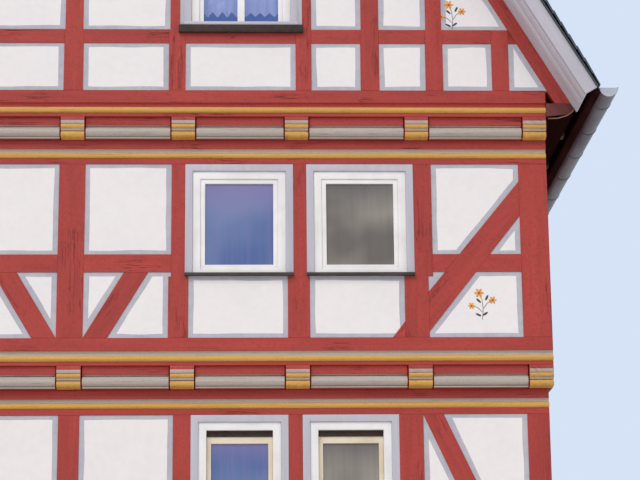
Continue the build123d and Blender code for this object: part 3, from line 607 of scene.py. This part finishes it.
joistBottoms = [low - 0.23 for low in house["sills"][1:]]
bm = workCopy("joist_fillers")
wornHeights(bm.verts, mouldings["fillerLevels"])
for group in islands(bm):  # an open joint at each end
    low, high = extent(group)
    for vert in group:
        if min(vert.co.x - low.x, high.x - vert.co.x) < 0.004:
            vert.co.x += math.copysign(mouldings["endJoint"], (low.x + high.x) / 2 - vert.co.x)
softenMoulding(bm)
paintBands(bm, joistBottoms, mouldings["fillers"])
for face in bm.faces:
    if abs(face.normal.x) > 0.5:
        face.material_index = red
grainMap(bm)
finishNode(bm, "joist_fillers", paints)

# Pale bead under the roll of each filler
bead = {"low": 0.002, "high": 0.016, "recess": 0.022, "depth": 0.05, "edge": 0.005}
source = workCopy("joist_fillers")
bm = bmesh.new()
for group in islands(source):
    low, high = extent(group)
    face = max(abs(low.y), abs(high.y)) - bead["recess"]
    ends = sorted(math.copysign(y, low.y) for y in (face, face - bead["depth"]))
    boxPart(bm, (low.x + mouldings["endJoint"], ends[0], low.z + bead["low"]),
            (high.x - mouldings["endJoint"], ends[1], low.z + bead["high"]), bead["edge"])
source.free()
grainMap(bm)
finishPiece(bm, "fillerBeads", [greyTimber])

jettyPaint = {"paintedLength": 0.2, "faceDepth": 0.11, "sideFrom": 4.8, "edge": 0.004}
for bottom, (node, reach) in zip(joistBottoms, house["jettyReaches"].items()):
    bm = workCopy(node)
    inner = reach - jettyPaint["paintedLength"]
    for side in (1, -1):
        cutAcross(bm, (0, side * inner, 0), (0, side, 0))
    cutAcross(bm, (0, 0, bottom + mouldings["joistLevels"][-2][0]), (0, 0, 1))
    wornHeights([v for v in bm.verts if abs(v.co.y) > inner + 0.001], mouldings["joistLevels"])
    softenMoulding(bm, jettyPaint["edge"])
    bm.normal_update()
    paintBands(bm, joistBottoms, mouldings["joists"])
    for face in bm.faces:
        centre = face.calc_center_median()
        if abs(centre.x) > jettyPaint["sideFrom"] and face.normal.x * centre.x > 0.5:
            face.material_index = red
        elif abs(centre.y) < inner:
            face.material_index = bare
        elif abs(face.normal.x) > 0.5 or face.normal.z > 0.9 or abs(centre.y) < reach - jettyPaint["faceDepth"]:
            face.material_index = red
    grainMap(bm)
    finishNode(bm, node, paints)

bm = workCopy("eave_beams")
softenMoulding(bm)
for face in bm.faces:
    # the ends take the darker red and the other faces the near-black paint, both painted shade under the eave
    face.material_index = 0 if abs(face.normal.y) > 0.6 else 1
grainMap(bm)
finishNode(bm, "eave_beams", [shadedRedTimber, shadedSoffitTimber])

# Curved trim under the end of each eave beam
trim = {"line": ((4.985, 8.302), (5.09, 8.306), (5.186, 8.336), (5.235, 8.37), (5.262, 8.41), (5.28, 8.462)),
        "thickness": 0.009, "lean": 0.6, "front": 4.892, "back": 4.878}
lower = [(x + trim["thickness"] * trim["lean"], z - trim["thickness"]) for x, z in trim["line"]]
bm = cornerParts([*trim["line"], *lower[::-1]], trim["front"], trim["front"] - trim["back"])
grainMap(bm)
finishPiece(bm, "eaveTrim", [bareTimber])
print("moulded timbers made")


# Plaster panels with a painted border

def facesOut(face):  # whether a face is on the outside of a wall
    centre, normal = face.calc_center_median(), face.normal
    for axis, walls in ((1, house["halfDepths"]), (0, house["halfWidths"])):
        if abs(normal[axis]) > 0.9:
            wall = walls[storeyOf(centre.z)] - plasterFinish["faceSlack"]
            return normal[axis] * centre[axis] > 0 and abs(centre[axis]) > wall
    return False


def movedIn(corners, normal):  # an outline moved in by the border, each corner with the number of its next side
    kept = [(place, i) for i, place in enumerate(corners)]
    for number, (start, end) in enumerate(zip(corners, corners[1:] + corners[:1])):
        along = (end - start).normalized()
        if (end - start).length < plasterFinish["shortestSide"]:
            continue
        width = plasterFinish["sideBorder" if abs(along.z) > 0.5 else "flatBorder"]
        inward = normal.cross(along)
        heights = [(place - start).dot(inward) - width for place, side in kept]
        clipped = []
        for (here, side), (there, other), low, high in zip(kept, kept[1:] + kept[:1], heights,
                                                           heights[1:] + heights[:1]):
            if low >= 0:
                clipped.append((here, side))
            if low * high < 0:
                clipped.append((here.lerp(there, low / (low - high)), number if low > 0 else side))
        kept = clipped
    return kept


def paintBorder(bm, face):  # the face becomes a white middle and a strip of border along each side
    normal = face.normal.copy()
    rim = face.verts[:]
    if face.calc_area() < plasterFinish["sliver"] * face.calc_perimeter():
        face.material_index = 2
        return
    inner = movedIn([v.co.copy() for v in rim], normal)
    area = sum((a - inner[0][0]).cross(b - inner[0][0]).dot(normal) / 2
               for (a, i), (b, j) in zip(inner[1:], inner[2:]))
    if len(inner) < 3 or area < plasterFinish["leastWhite"] * face.calc_area():
        face.material_index = 1
        return
    lines, middle = {}, []
    for (start, side), (end, other) in zip(inner, inner[1:] + inner[:1]):
        steps = max(1, round((end - start).length / plasterFinish["brushStep"]))
        lines[side] = [start.lerp(end, i / steps) for i in range(steps)]
        for place in lines[side]:
            wander = mathutils.noise.noise_vector(place * 3.0) * plasterFinish["unevenness"]
            place += wander - normal * wander.dot(normal)
        lines[side] = [bm.verts.new(place) for place in lines[side]]
        middle += lines[side]
    ends = {}
    for i, (place, side) in enumerate(inner):
        ends[side] = lines[inner[(i + 1) % len(inner)][1]][0]
    order = [side for place, side in inner]
    bmesh.ops.delete(bm, geom=[face], context="FACES_ONLY")
    for number, (start, end) in enumerate(zip(rim, rim[1:] + rim[:1])):
        if number in lines:
            strip = lines[number] + [ends[number]]
        else:
            after = min(order, key=lambda side: (side - number) % len(rim))
            strip = [lines[after][0]]
        part = bm.faces.new([start, end] + strip[::-1])
        part.material_index = 1
    bm.faces.new(middle)


for node in ("ground_panels", "first_panels", "second_panels", "gable_panels"):
    bm = workCopy(node)
    for face in [f for f in bm.faces if facesOut(f)]:
        paintBorder(bm, face)
    bm.normal_update()
    finishNode(bm, node, [panelWhite, panelBorder, redTimber], smoothAngle=20)
print("panels made")


# Windows

joinery = {
    "casingEdge": 0.004,
    "frameEdge": 0.005,
    "sashEdge": 0.004,
    "firstSashDeeper": 0.045,
    "firstSashLower": 0.045,
    "atticDrop": 0.036,
    "atticDropBelow": 0.1,
    "topRailFrom": 0.1,
    "topRailMore": 0.038,
    "atticBoardLow": 9.243,
    "atticBoardHigh": 9.325,
    "atticBoardReach": 0.05,
    "atticBoardWider": 0.055,
    "atticSillHigh": 9.366,
    "atticSillReach": 0.03,
    "boardEdge": 0.004,
    "darkPanesFrom": 2.38,
    "darkPanesTo": 4.5,
    "slotHeight": 0.062,
    "slotRecess": 0.035,
    "slotDepth": 0.05,
}


def wallAxis(low, high):  # the axis, and the way along it, that leads out of the wall round a small part
    axis = 1 if high.y - low.y < high.x - low.x else 0
    return axis, math.copysign(1, low[axis] + high[axis])


def reachDown(bm):  # the gable's windows reach down to their sill boards
    for group, low, high in inStorey(bm, 3):
        for vert in group:
            if vert.co.z < low.z + joinery["atticDropBelow"]:
                vert.co.z -= joinery["atticDrop"]


def setBack(bm):  # the first storey's sashes stand deeper, with their tops lower
    for group, low, high in inStorey(bm, 1):
        axis, out = wallAxis(low, high)
        for vert in group:
            vert.co[axis] -= out * joinery["firstSashDeeper"]
            if vert.co.z > (low.z + high.z) / 2:
                vert.co.z -= joinery["firstSashLower"]


for node, coat, edge, slotName in (("window_casings", casingPaint, "casingEdge", "grey_paint"),
                                   ("window_frames", whitePaint, "frameEdge", "white_paint")):
    bm = workCopy(node, False)
    reachDown(bm)
    softenEdges(bm, joinery[edge])
    grainMap(bm)
    finishNode(bm, node, [coat])

bm = workCopy("window_sashes", False)
reachDown(bm)
setBack(bm)
for group, low, high in inStorey(bm, 1):
    for vert in group:  # a deeper top rail
        if high.z - joinery["topRailFrom"] < vert.co.z < high.z - 0.01:
            vert.co.z -= joinery["topRailMore"]
    for face in facesOf(group):
        face.material_index = 1
softenEdges(bm, joinery["sashEdge"])
grainMap(bm)
finishNode(bm, "window_sashes", [whitePaint, creamPaint])

bm = workCopy("window_panes")
reachDown(bm)
setBack(bm)
paneMap = bm.loops.layers.uv.verify()
for group in islands(bm):
    low, high = extent(group)
    middle, size = (low + high) / 2, high - low
    # panes in this band get the painted reflection of a shaded roof, the others the painted reflection of a
    # blue sky
    dark = joinery["darkPanesFrom"] < abs(middle.x) < joinery["darkPanesTo"]
    wide = 0 if size.x > size.y else 1
    for face in facesOf(group):
        face.material_index = 2 if middle.z > house["sills"][3] else int(dark)
        for loop in face.loops:
            place = loop.vert.co - low
            loop[paneMap].uv = (place[wide] / size[wide], place.z / size.z)
finishNode(bm, "window_panes", [skyReflectionPane, shadedRoofReflectionPane, atticPane])

# Dark box in the recess over the deeper sashes: painted shade under each frame head
source = workCopy("window_sashes")
bm = bmesh.new()
for group, low, high in inStorey(source, 1):
    axis, out = wallAxis(low, high)
    face = max(abs(low[axis]), abs(high[axis])) - joinery["slotRecess"]
    low[axis], high[axis] = sorted((out * face, out * (face - joinery["slotDepth"])))
    low.z = high.z - joinery["slotHeight"]
    boxPart(bm, low, high)
source.free()
finishPiece(bm, "paintedShadeSlots", [brownBoards])

bm = workCopy("weatherboards")
for group, low, high in inStorey(bm, 3):
    axis, out = wallAxis(low, high)
    for vert in group:
        vert.co.z = joinery["atticBoardLow"] if vert.co.z < (low.z + high.z) / 2 else joinery["atticBoardHigh"]
        vert.co.x += math.copysign(joinery["atticBoardWider"], vert.co.x - (low.x + high.x) / 2)
        if abs(vert.co.y) > house["halfDepths"][3] + 0.01:
            vert.co.y = out * (house["halfDepths"][3] + joinery["atticBoardReach"])
    for face in facesOf(group):
        face.material_index = 1
softenEdges(bm, joinery["boardEdge"])
grainMap(bm)
finishNode(bm, "weatherboards", [darkSheet, brownBoards], "weatherBoards")

source = workCopy("weatherboards")
bm = bmesh.new()
for group, low, high in inStorey(source, 3):
    axis, out = wallAxis(low, high)
    low.y, high.y = sorted(out * (house["halfDepths"][3] + y) for y in (-0.03, joinery["atticSillReach"]))
    low.z, high.z = joinery["atticBoardHigh"], joinery["atticSillHigh"]
    boxPart(bm, low, high, joinery["boardEdge"], 2)
source.free()
grainMap(bm)
finishPiece(bm, "atticSills", [casingPaint])
print("windows made")


# Lace at the gable windows

curtain = {"folds": 9, "foldDepth": 0.022, "foldDrift": 0.6, "pointWidth": 0.098, "pointDrop": 0.06,
           "hem": 9.46, "mapStretch": 1.2, "across": 96, "down": 20}


def laceSheet(number, low, high):
    width, height = high.x - low.x, high.z - curtain["hem"] - curtain["pointDrop"]
    points = round(width / curtain["pointWidth"])
    middle = (low + high) / 2
    bm = bmesh.new()
    bmesh.ops.create_grid(bm, x_segments=curtain["across"], y_segments=curtain["down"], size=0.5,
                          calc_uvs=False)
    layer = bm.loops.layers.uv.verify()
    for face in bm.faces:
        for loop in face.loops:
            across, up = loop.vert.co.x + 0.5, loop.vert.co.y + 0.5
            loop[layer].uv = (across * width * curtain["mapStretch"], up * height)
    for vert in bm.verts:
        across, up = vert.co.x + 0.5, vert.co.y + 0.5
        point = abs((across * points) % 1 - 0.5) * 2
        drop = curtain["pointDrop"] * (1 - point) * max(0.0, 1 - up * 4)
        drift = curtain["foldDrift"] * math.sin(across * 17)
        fold = math.sin(across * curtain["folds"] * 2 * math.pi + drift)
        swing = curtain["foldDepth"] * fold * (1.1 - up * 0.5)
        vert.co = Vector((low.x + across * width, middle.y + swing * 0.5, high.z - height * (1 - up) - drop))
    area = sum(f.calc_area() for f in bm.faces)
    piece = finishNode(bm, "gable_curtains", [lace], f"laceCurtain{number}")


source = workCopy("gable_curtains")
for number, group in enumerate(islands(source), 1):
    laceSheet(number, *extent(group))
source.free()
print("lace made")


# Roof

roof = {
    "pitch": math.radians(59.6),
    "eaveX": 5.45,
    "eaveZ": 8.47,
    "halfLength": 5.503,
    "exposure": 0.15,
    "slateLength": 0.33,
    "slateWidth": 0.24,
    "slateThickness": 0.009,
    "sideGap": 0.004,
    "headDepth": 0.02,
    "ridgeGap": 0.03,
    "shortestCourse": 0.12,
    "underlayDepth": 0.027,
    "ridgeEdge": 0.003,
    "fasciaEdge": 0.004,
}
downSlope = Vector((math.cos(roof["pitch"]), 0, -math.sin(roof["pitch"])))
outOfSlope = Vector((math.sin(roof["pitch"]), 0, math.cos(roof["pitch"])))
ridgePoint = Vector((0, 0, roof["eaveZ"] + roof["eaveX"] * math.tan(roof["pitch"])))
slopeTurn = Matrix((downSlope, Vector((0, 1, 0)), outOfSlope)).transposed().to_4x4()


def slateCourse(tail, odd):
    bm = bmesh.new()
    tone = bm.faces.layers.float.new("slateTone")
    length = min(roof["slateLength"], tail - roof["ridgeGap"])
    tilt = Matrix.Rotation(math.atan(roof["headDepth"] / length), 4, "Y")
    y = -roof["halfLength"]
    first = True
    while y < roof["halfLength"] - 0.001:
        width = roof["slateWidth"] * draw.uniform(0.86, 1.14)
        if first and odd:
            width *= 0.5
        first = False
        if roof["halfLength"] - y - width < roof["slateWidth"] * 0.4:
            width = roof["halfLength"] - y
        made = bmesh.ops.create_cube(bm, size=1)["verts"]
        size = (length, width - roof["sideGap"], roof["slateThickness"] * draw.uniform(0.85, 1.1))
        bmesh.ops.scale(bm, vec=size, verts=made)
        bmesh.ops.translate(bm, vec=(-length / 2, y + width / 2, -size[2] / 2), verts=made)
        bmesh.ops.transform(bm, matrix=tilt, verts=made)
        slip = draw.uniform(-0.003, 0.003)
        bmesh.ops.translate(bm, vec=(slip, 0, draw.uniform(-0.002, 0.0)), verts=made)
        value = draw.random()
        for face in facesOf(made):
            face[tone] = value
        y += width
    place = Matrix.Translation(ridgePoint + downSlope * tail) @ slopeTurn
    bmesh.ops.transform(bm, matrix=place, verts=bm.verts)
    mesh = bpy.data.meshes.new("course")
    bm.to_mesh(mesh)
    bm.free()
    return mesh


bm = workCopy("roof_slates")
bm.faces.layers.float.new("slateTone")
for vert in bm.verts:
    side = math.copysign(1, vert.co.x)
    flat = Vector((abs(vert.co.x), 0, vert.co.z)) - ridgePoint
    if flat.dot(outOfSlope) > -0.012:
        vert.co -= Vector((side * outOfSlope.x, 0, outOfSlope.z)) * roof["underlayDepth"]
slopeLength = roof["eaveX"] / math.cos(roof["pitch"])
for side in (0, 1):
    tail, count = slopeLength, 0
    while tail > roof["shortestCourse"]:
        mesh = slateCourse(tail, count % 2)
        if side:
            mesh.transform(Matrix.Rotation(math.pi, 4, "Z"))
        bm.from_mesh(mesh)
        bpy.data.meshes.remove(mesh)
        tail -= roof["exposure"]
        count += 1
bm.normal_update()
finishNode(bm, "roof_slates", [slateStone], smoothAngle=20)

bm = workCopy("ridge_cap")
softenEdges(bm, roof["ridgeEdge"], 2, 25)
finishNode(bm, "ridge_cap", [ridgeLead])

verge = {"edge": 0.005, "boardWidths": (0.19, 0.38), "groove": 0.004}
bm = workCopy("bargeboards")
softenEdges(bm, verge["edge"])
grainMap(bm)
finishNode(bm, "bargeboards", [paleBoards], "bargeBoards")

bm = workCopy("verge_soffits")
for side in (1, -1):
    for width in verge["boardWidths"]:
        cutAcross(bm, (0, side * (house["halfDepths"][3] + width), 0), (0, side, 0))
bm.normal_update()
under = [f for f in bm.faces if f.normal.z < -0.3 and abs(f.calc_center_median().y) > house["halfDepths"][3]]
bmesh.ops.inset_individual(bm, faces=under, thickness=verge["groove"], depth=verge["groove"],
                           use_even_offset=True)
grainMap(bm)
finishNode(bm, "verge_soffits", [soffitBoards])

bm = workCopy("eave_fascias")
softenEdges(bm, roof["fasciaEdge"])
grainMap(bm)
# the fascias take the near-black painted shade of the eave
finishNode(bm, "eave_fascias", [shadedSoffitTimber])
print("roof made")


# Gutters

gutter = {"radius": 0.097, "x": 5.539, "z": 8.454, "end": 5.45, "plate": 0.003, "plateGap": 0.002,
          "bead": 0.008, "beadIn": 0.006, "beadDown": 0.004}
bm = bmesh.new()
for side in (1, -1):
    for end in (1, -1):
        place = Matrix.Translation((side * gutter["x"], end * gutter["end"], gutter["z"])) @ standUp
        reach = gutter["radius"] - gutter["plateGap"]
        made = bmesh.ops.create_cone(bm, cap_ends=True, segments=48, radius1=reach, radius2=reach,
                                     depth=gutter["plate"], matrix=place)["verts"]
        result = bmesh.ops.bisect_plane(bm, geom=made + edgesOf(made) + facesOf(made), dist=0.0001,
                                        plane_co=(0, 0, gutter["z"] - 0.001), plane_no=(0, 0, 1),
                                        clear_outer=True)
        rim = [e for e in result["geom_cut"] if isinstance(e, bmesh.types.BMEdge)]
        bmesh.ops.contextual_create(bm, geom=rim)
for face in bm.faces:
    face.material_index = 1
for side in (1, -1):  # the rolled bead along the outer rim
    x = side * (gutter["x"] + gutter["radius"] - gutter["beadIn"])
    place = Matrix.Translation((x, 0, gutter["z"] - gutter["beadDown"])) @ standUp
    bmesh.ops.create_cone(bm, cap_ends=True, segments=16, radius1=gutter["bead"], radius2=gutter["bead"],
                          depth=2 * gutter["end"], matrix=place)
bmesh.ops.recalc_face_normals(bm, faces=bm.faces)
finishPiece(bm, "gutterEnds", [zinc, brightZinc])

# Folded sheet that closes the slot between each fascia and its gutter
drip = {"lap": 0.006, "low": 8.4, "high": 8.45, "halfLength": 5.44}
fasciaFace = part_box("eave_fascias")[1][0]
bm = bmesh.new()
for side in (1, -1):
    gutterBack = gutter["x"] - gutter["radius"]
    ends = sorted((side * (fasciaFace - drip["lap"]), side * (gutterBack + drip["lap"])))
    boxPart(bm, (ends[0], -drip["halfLength"], drip["low"]), (ends[1], drip["halfLength"], drip["high"]))
# the sheet takes the dark painted shade of the roof's underside
finishPiece(bm, "eaveDrips", [shadedRoofUnderside])
dress("gutters", zinc)
dress("gutter_brackets", zinc)
print("gutters made")


# Plinth and steps

masonry = {"courses": 2, "height": 0.45, "proud": 0.008, "depth": 0.06, "joint": 0.008, "edge": 0.012,
           "shortest": 0.42, "longest": 0.82, "halfX": 4.93, "halfY": 4.49, "stepEdge": 0.014}


def stoneRun(bm, tone, length, place):
    rise = masonry["height"] / masonry["courses"]
    for course in range(masonry["courses"]):
        x = -length / 2
        while x < length / 2 - 0.001:
            run = draw.uniform(masonry["shortest"], masonry["longest"])
            if length / 2 - x - run < masonry["shortest"]:
                run = length / 2 - x
            low = (x + masonry["joint"] / 2, -masonry["proud"], course * rise + masonry["joint"] * 0.2)
            high = (x + run - masonry["joint"] / 2, masonry["depth"],
                    (course + 1) * rise - masonry["joint"] * 0.6)
            made = boxPart(bm, low, high, masonry["edge"], 2)
            value = draw.random()
            for face in facesOf(made):
                face[tone] = value
            bmesh.ops.transform(bm, matrix=place, verts=made)
            x += run


bm = bmesh.new()
tone = bm.faces.layers.float.new("blockTone")
for quarter in range(4):
    run, reach = masonry["halfX"], masonry["halfY"]
    if quarter % 2:
        run, reach = reach, run
    turn = Matrix.Rotation(quarter * math.pi / 2, 4, "Z") @ Matrix.Translation((0, -reach, 0))
    stoneRun(bm, tone, 2 * run + 2 * masonry["proud"], turn)
finishPiece(bm, "plinthStones", [sandstone])
dress("plinth", mortar)

bm = workCopy("door_steps")
bm.faces.layers.float.new("blockTone")
softenEdges(bm, masonry["stepEdge"], 3)
finishNode(bm, "door_steps", [sandstone])
print("stonework made")


# Entrance door

door = {
    "boards": 6,
    "gap": 0.003,
    "edge": 0.005,
    "ledges": (0.28, 1.02, 1.78),
    "ledgeHeight": 0.13,
    "ledgeProud": 0.018,
    "ledgeInset": 0.03,
    "handleHeight": 1.05,
    "handleInset": 0.08,
    "plateHalf": Vector((0.025, 0.006, 0.07)),
    "ring": 0.042,
    "ringWire": 0.007,
    "ringProud": 0.014,
    "strapLength": 0.42,
    "strapThickness": 0.006,
    "strapRise": (0.045, 0.085),
    "ironEdge": 0.002,
}
low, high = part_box("entrance_door")
bm = bmesh.new()
step = (high.x - low.x) / door["boards"]
for i in range(door["boards"]):
    boxPart(bm, (low.x + step * i + door["gap"] / 2, low.y, low.z),
            (low.x + step * (i + 1) - door["gap"] / 2, high.y, high.z), door["edge"])
for rise in door["ledges"]:
    boxPart(bm, (low.x + door["ledgeInset"], low.y - door["ledgeProud"], low.z + rise),
            (high.x - door["ledgeInset"], low.y + 0.01, low.z + rise + door["ledgeHeight"]), door["edge"])
grainMap(bm)
finishNode(bm, "entrance_door", [doorTimber])

bm = bmesh.new()
spot = Vector((low.x + door["handleInset"], low.y - 0.012, low.z + door["handleHeight"]))
boxPart(bm, spot - door["plateHalf"], spot + door["plateHalf"], door["ironEdge"])
profile = bmesh.ops.create_circle(bm, segments=10, radius=door["ringWire"])["verts"]
bmesh.ops.rotate(bm, matrix=standUp.to_3x3(), verts=profile)
bmesh.ops.translate(bm, vec=(door["ring"], 0, 0), verts=profile)
bmesh.ops.spin(bm, geom=profile + edgesOf(profile), cent=(0, 0, 0), axis=(0, 0, 1), dvec=(0, 0, 0),
               angle=2 * math.pi, steps=32, use_merge=True, use_duplicate=False)
ringPlace = Matrix.Translation(spot + Vector((0, -door["ringProud"], -door["ring"]))) @ standUp
bmesh.ops.transform(bm, matrix=ringPlace, verts=[v for v in bm.verts if v.co.length < 0.1])
for rise in door["ledges"]:
    face = low.y - door["ledgeProud"]
    lowRise, highRise = (low.z + rise + z for z in door["strapRise"])
    boxPart(bm, (high.x - door["strapLength"], face - door["strapThickness"], lowRise),
            (high.x - 0.005, face, highRise), door["ironEdge"])
bmesh.ops.recalc_face_normals(bm, faces=bm.faces)
finishPiece(bm, "doorIronwork", [ironwork])
print("door made")


# Painted sprigs of flowers, flat on the plaster

sprig = {
    "spots": ((4.25, 4.75, 6.32), (4.0, 4.87, 9.44)),  # across, out to the wall, up
    "proud": 0.0015,
    "recess": 0.008,
    "stem": 0.006,
    "stems": (((0.0, -0.15), (0.01, -0.04), (0.0, 0.06), (-0.03, 0.12)),
              ((0.01, -0.04), (0.05, 0.02), (0.1, 0.05)),
              ((0.0, -0.07), (-0.05, -0.02), (-0.1, -0.01))),
    "flowers": ((-0.03, 0.13, 0.05), (0.11, 0.055, 0.042), (-0.11, -0.005, 0.036)),
    "leaves": ((0.03, -0.09, 0.6), (-0.035, 0.05, 2.4), (0.05, 0.08, 1.1), (-0.04, -0.1, 2.7)),
    "petals": 6,
}
petalPaint = paintedTimber("petalPaint", paint(238, 170, 52), paint(222, 138, 44), 0.0)
heartPaint = paintedTimber("heartPaint", paint(176, 84, 40), paint(150, 66, 34), 0.0)
stemPaint = paintedTimber("stemPaint", paint(64, 78, 52), paint(46, 58, 42), 0.0)


def flatDisc(bm, x, z, longHalf, wideHalf, turn, lift, colour, segments=14):
    made = bmesh.ops.create_circle(bm, cap_ends=True, segments=segments, radius=1)["verts"]
    bmesh.ops.scale(bm, vec=(longHalf, wideHalf, 1), verts=made)
    bmesh.ops.rotate(bm, matrix=Matrix.Rotation(turn, 3, "Z"), verts=made)
    bmesh.ops.translate(bm, vec=(x, z, lift), verts=made)
    for face in facesOf(made):
        face.material_index = colour


def paintedSprig(bm, place):
    start = len(bm.verts)
    for line in sprig["stems"]:
        for (x1, z1), (x2, z2) in zip(line, line[1:]):
            length, turn = math.hypot(x2 - x1, z2 - z1), math.atan2(z2 - z1, x2 - x1)
            flatDisc(bm, (x1 + x2) / 2, (z1 + z2) / 2, length / 2 + 0.008, sprig["stem"] / 2, turn, 0.0, 2, 12)
    for x, z, turn in sprig["leaves"]:
        flatDisc(bm, x, z, 0.032, 0.011, turn, 0.0002, 2)
    for x, z, radius in sprig["flowers"]:
        for i in range(sprig["petals"]):
            turn = 2 * math.pi * i / sprig["petals"]
            flatDisc(bm, x + math.cos(turn) * radius * 0.6, z + math.sin(turn) * radius * 0.6, radius * 0.42,
                     radius * 0.24, turn, 0.0004, 0)
        flatDisc(bm, x, z, radius * 0.24, radius * 0.24, 0.0, 0.0006, 1)
    bm.verts.ensure_lookup_table()
    bmesh.ops.transform(bm, matrix=place, verts=bm.verts[start:])


bm = bmesh.new()
for x, reach, z in sprig["spots"]:
    for back in (0, 1):
        for side in (1, -1):
            out = reach - sprig["recess"] + sprig["proud"]
            place = Matrix.Rotation(back * math.pi, 4, "Z") @ Matrix.Translation((side * x, -out, z))
            paintedSprig(bm, place @ standUp @ Matrix.Diagonal((side, 1, 1, 1)))
bmesh.ops.recalc_face_normals(bm, faces=bm.faces)
for face in bm.faces:
    if face.normal.y * face.calc_center_median().y < 0:
        face.normal_flip()
grainMap(bm)
finishPiece(bm, "paintedSprigs", [petalPaint, heartPaint, stemPaint])
print("sprigs made")


# Frame nodes that keep their shape

for name in ("rafters", "ridge_beam", "collar_beams", "ground_joists"):
    dress(name, bareTimber)
dress("roof_boards", shadedRoofUnderside)
for name in ("ground_floor", "upper_floors"):
    dress(name, floorBoards)
dress("curtain_rods", ironwork)


# Floor, light and camera

studio = {
    "floorSize": 160.0,
    "floorColour": paint(214, 212, 208),
    "floorSpecks": paint(196, 194, 190),
    "skyColour": paint(214, 227, 247),
    "lightColour": paint(252, 250, 251),
    "skyStrength": 0.8,
    "sunStrength": 1.15,
    "sunTurn": (math.radians(48), 0.0, math.radians(-28)),
    "sunAngle": math.radians(35),
}
bm = bmesh.new()
bmesh.ops.create_grid(bm, x_segments=1, y_segments=1, size=studio["floorSize"] / 2)
mesh = bpy.data.meshes.new("floor")
bm.to_mesh(mesh)
bm.free()
floor = bpy.data.objects.new("floor", mesh)
floorFinish = newMaterial("floorFinish", studio["floorColour"], 0.9)
specks = between(noise(coords("Object"), 0.6, 4.0), 0.3, 0.7, 0.0, 0.12)
toShader("Base Color", blendColour(specks, studio["floorColour"], studio["floorSpecks"]))
mesh.materials.append(floorFinish)
bpy.context.scene.collection.objects.link(floor)
floor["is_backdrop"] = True

world = bpy.data.worlds.new("studioSky")
bpy.context.scene.world = world
world.use_nodes = True
bench["tree"] = world.node_tree
world.node_tree.nodes.clear()
seen = newNode("Background", {"Color": studio["skyColour"]})
light = newNode("Background", {"Color": studio["lightColour"], "Strength": studio["skyStrength"]})
path = newNode("LightPath", {})
looked = maths("MAXIMUM", path.outputs["Is Camera Ray"], path.outputs["Is Glossy Ray"])
looked = maths("MAXIMUM", looked, path.outputs["Is Transmission Ray"])
both = newNode("MixShader", {0: looked, 1: light.outputs[0], 2: seen.outputs[0]})
newNode("OutputWorld", {"Surface": both.outputs[0]})

sun = bpy.data.lights.new("softSun", "SUN")
sun.energy = studio["sunStrength"]
sun.angle = studio["sunAngle"]
sunObject = bpy.data.objects.new("softSun", sun)
sunObject.rotation_euler = studio["sunTurn"]
bpy.context.scene.collection.objects.link(sunObject)

camera = {
    "place": Vector((1.812, -25.35, 1.88)),
    "lens": 114.98,
    "pitch": math.radians(13.99),
    "yaw": math.radians(2.13),
    "roll": math.radians(-0.56),
}
lens = bpy.data.cameras.new("camera")
lens.lens = camera["lens"]
lens.sensor_width = 36
lens.clip_end = 400
viewer = bpy.data.objects.new("camera", lens)
turn = Matrix.Rotation(-camera["yaw"], 4, "Z") @ Matrix.Rotation(math.pi / 2 + camera["pitch"], 4, "X")
turn = turn @ Matrix.Rotation(camera["roll"], 4, "Z")
viewer.matrix_world = Matrix.Translation(camera["place"]) @ turn
bpy.context.scene.collection.objects.link(viewer)
bpy.context.scene.camera = viewer
bpy.context.scene.view_settings.view_transform = "Standard"

low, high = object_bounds()
print("stage and camera made")
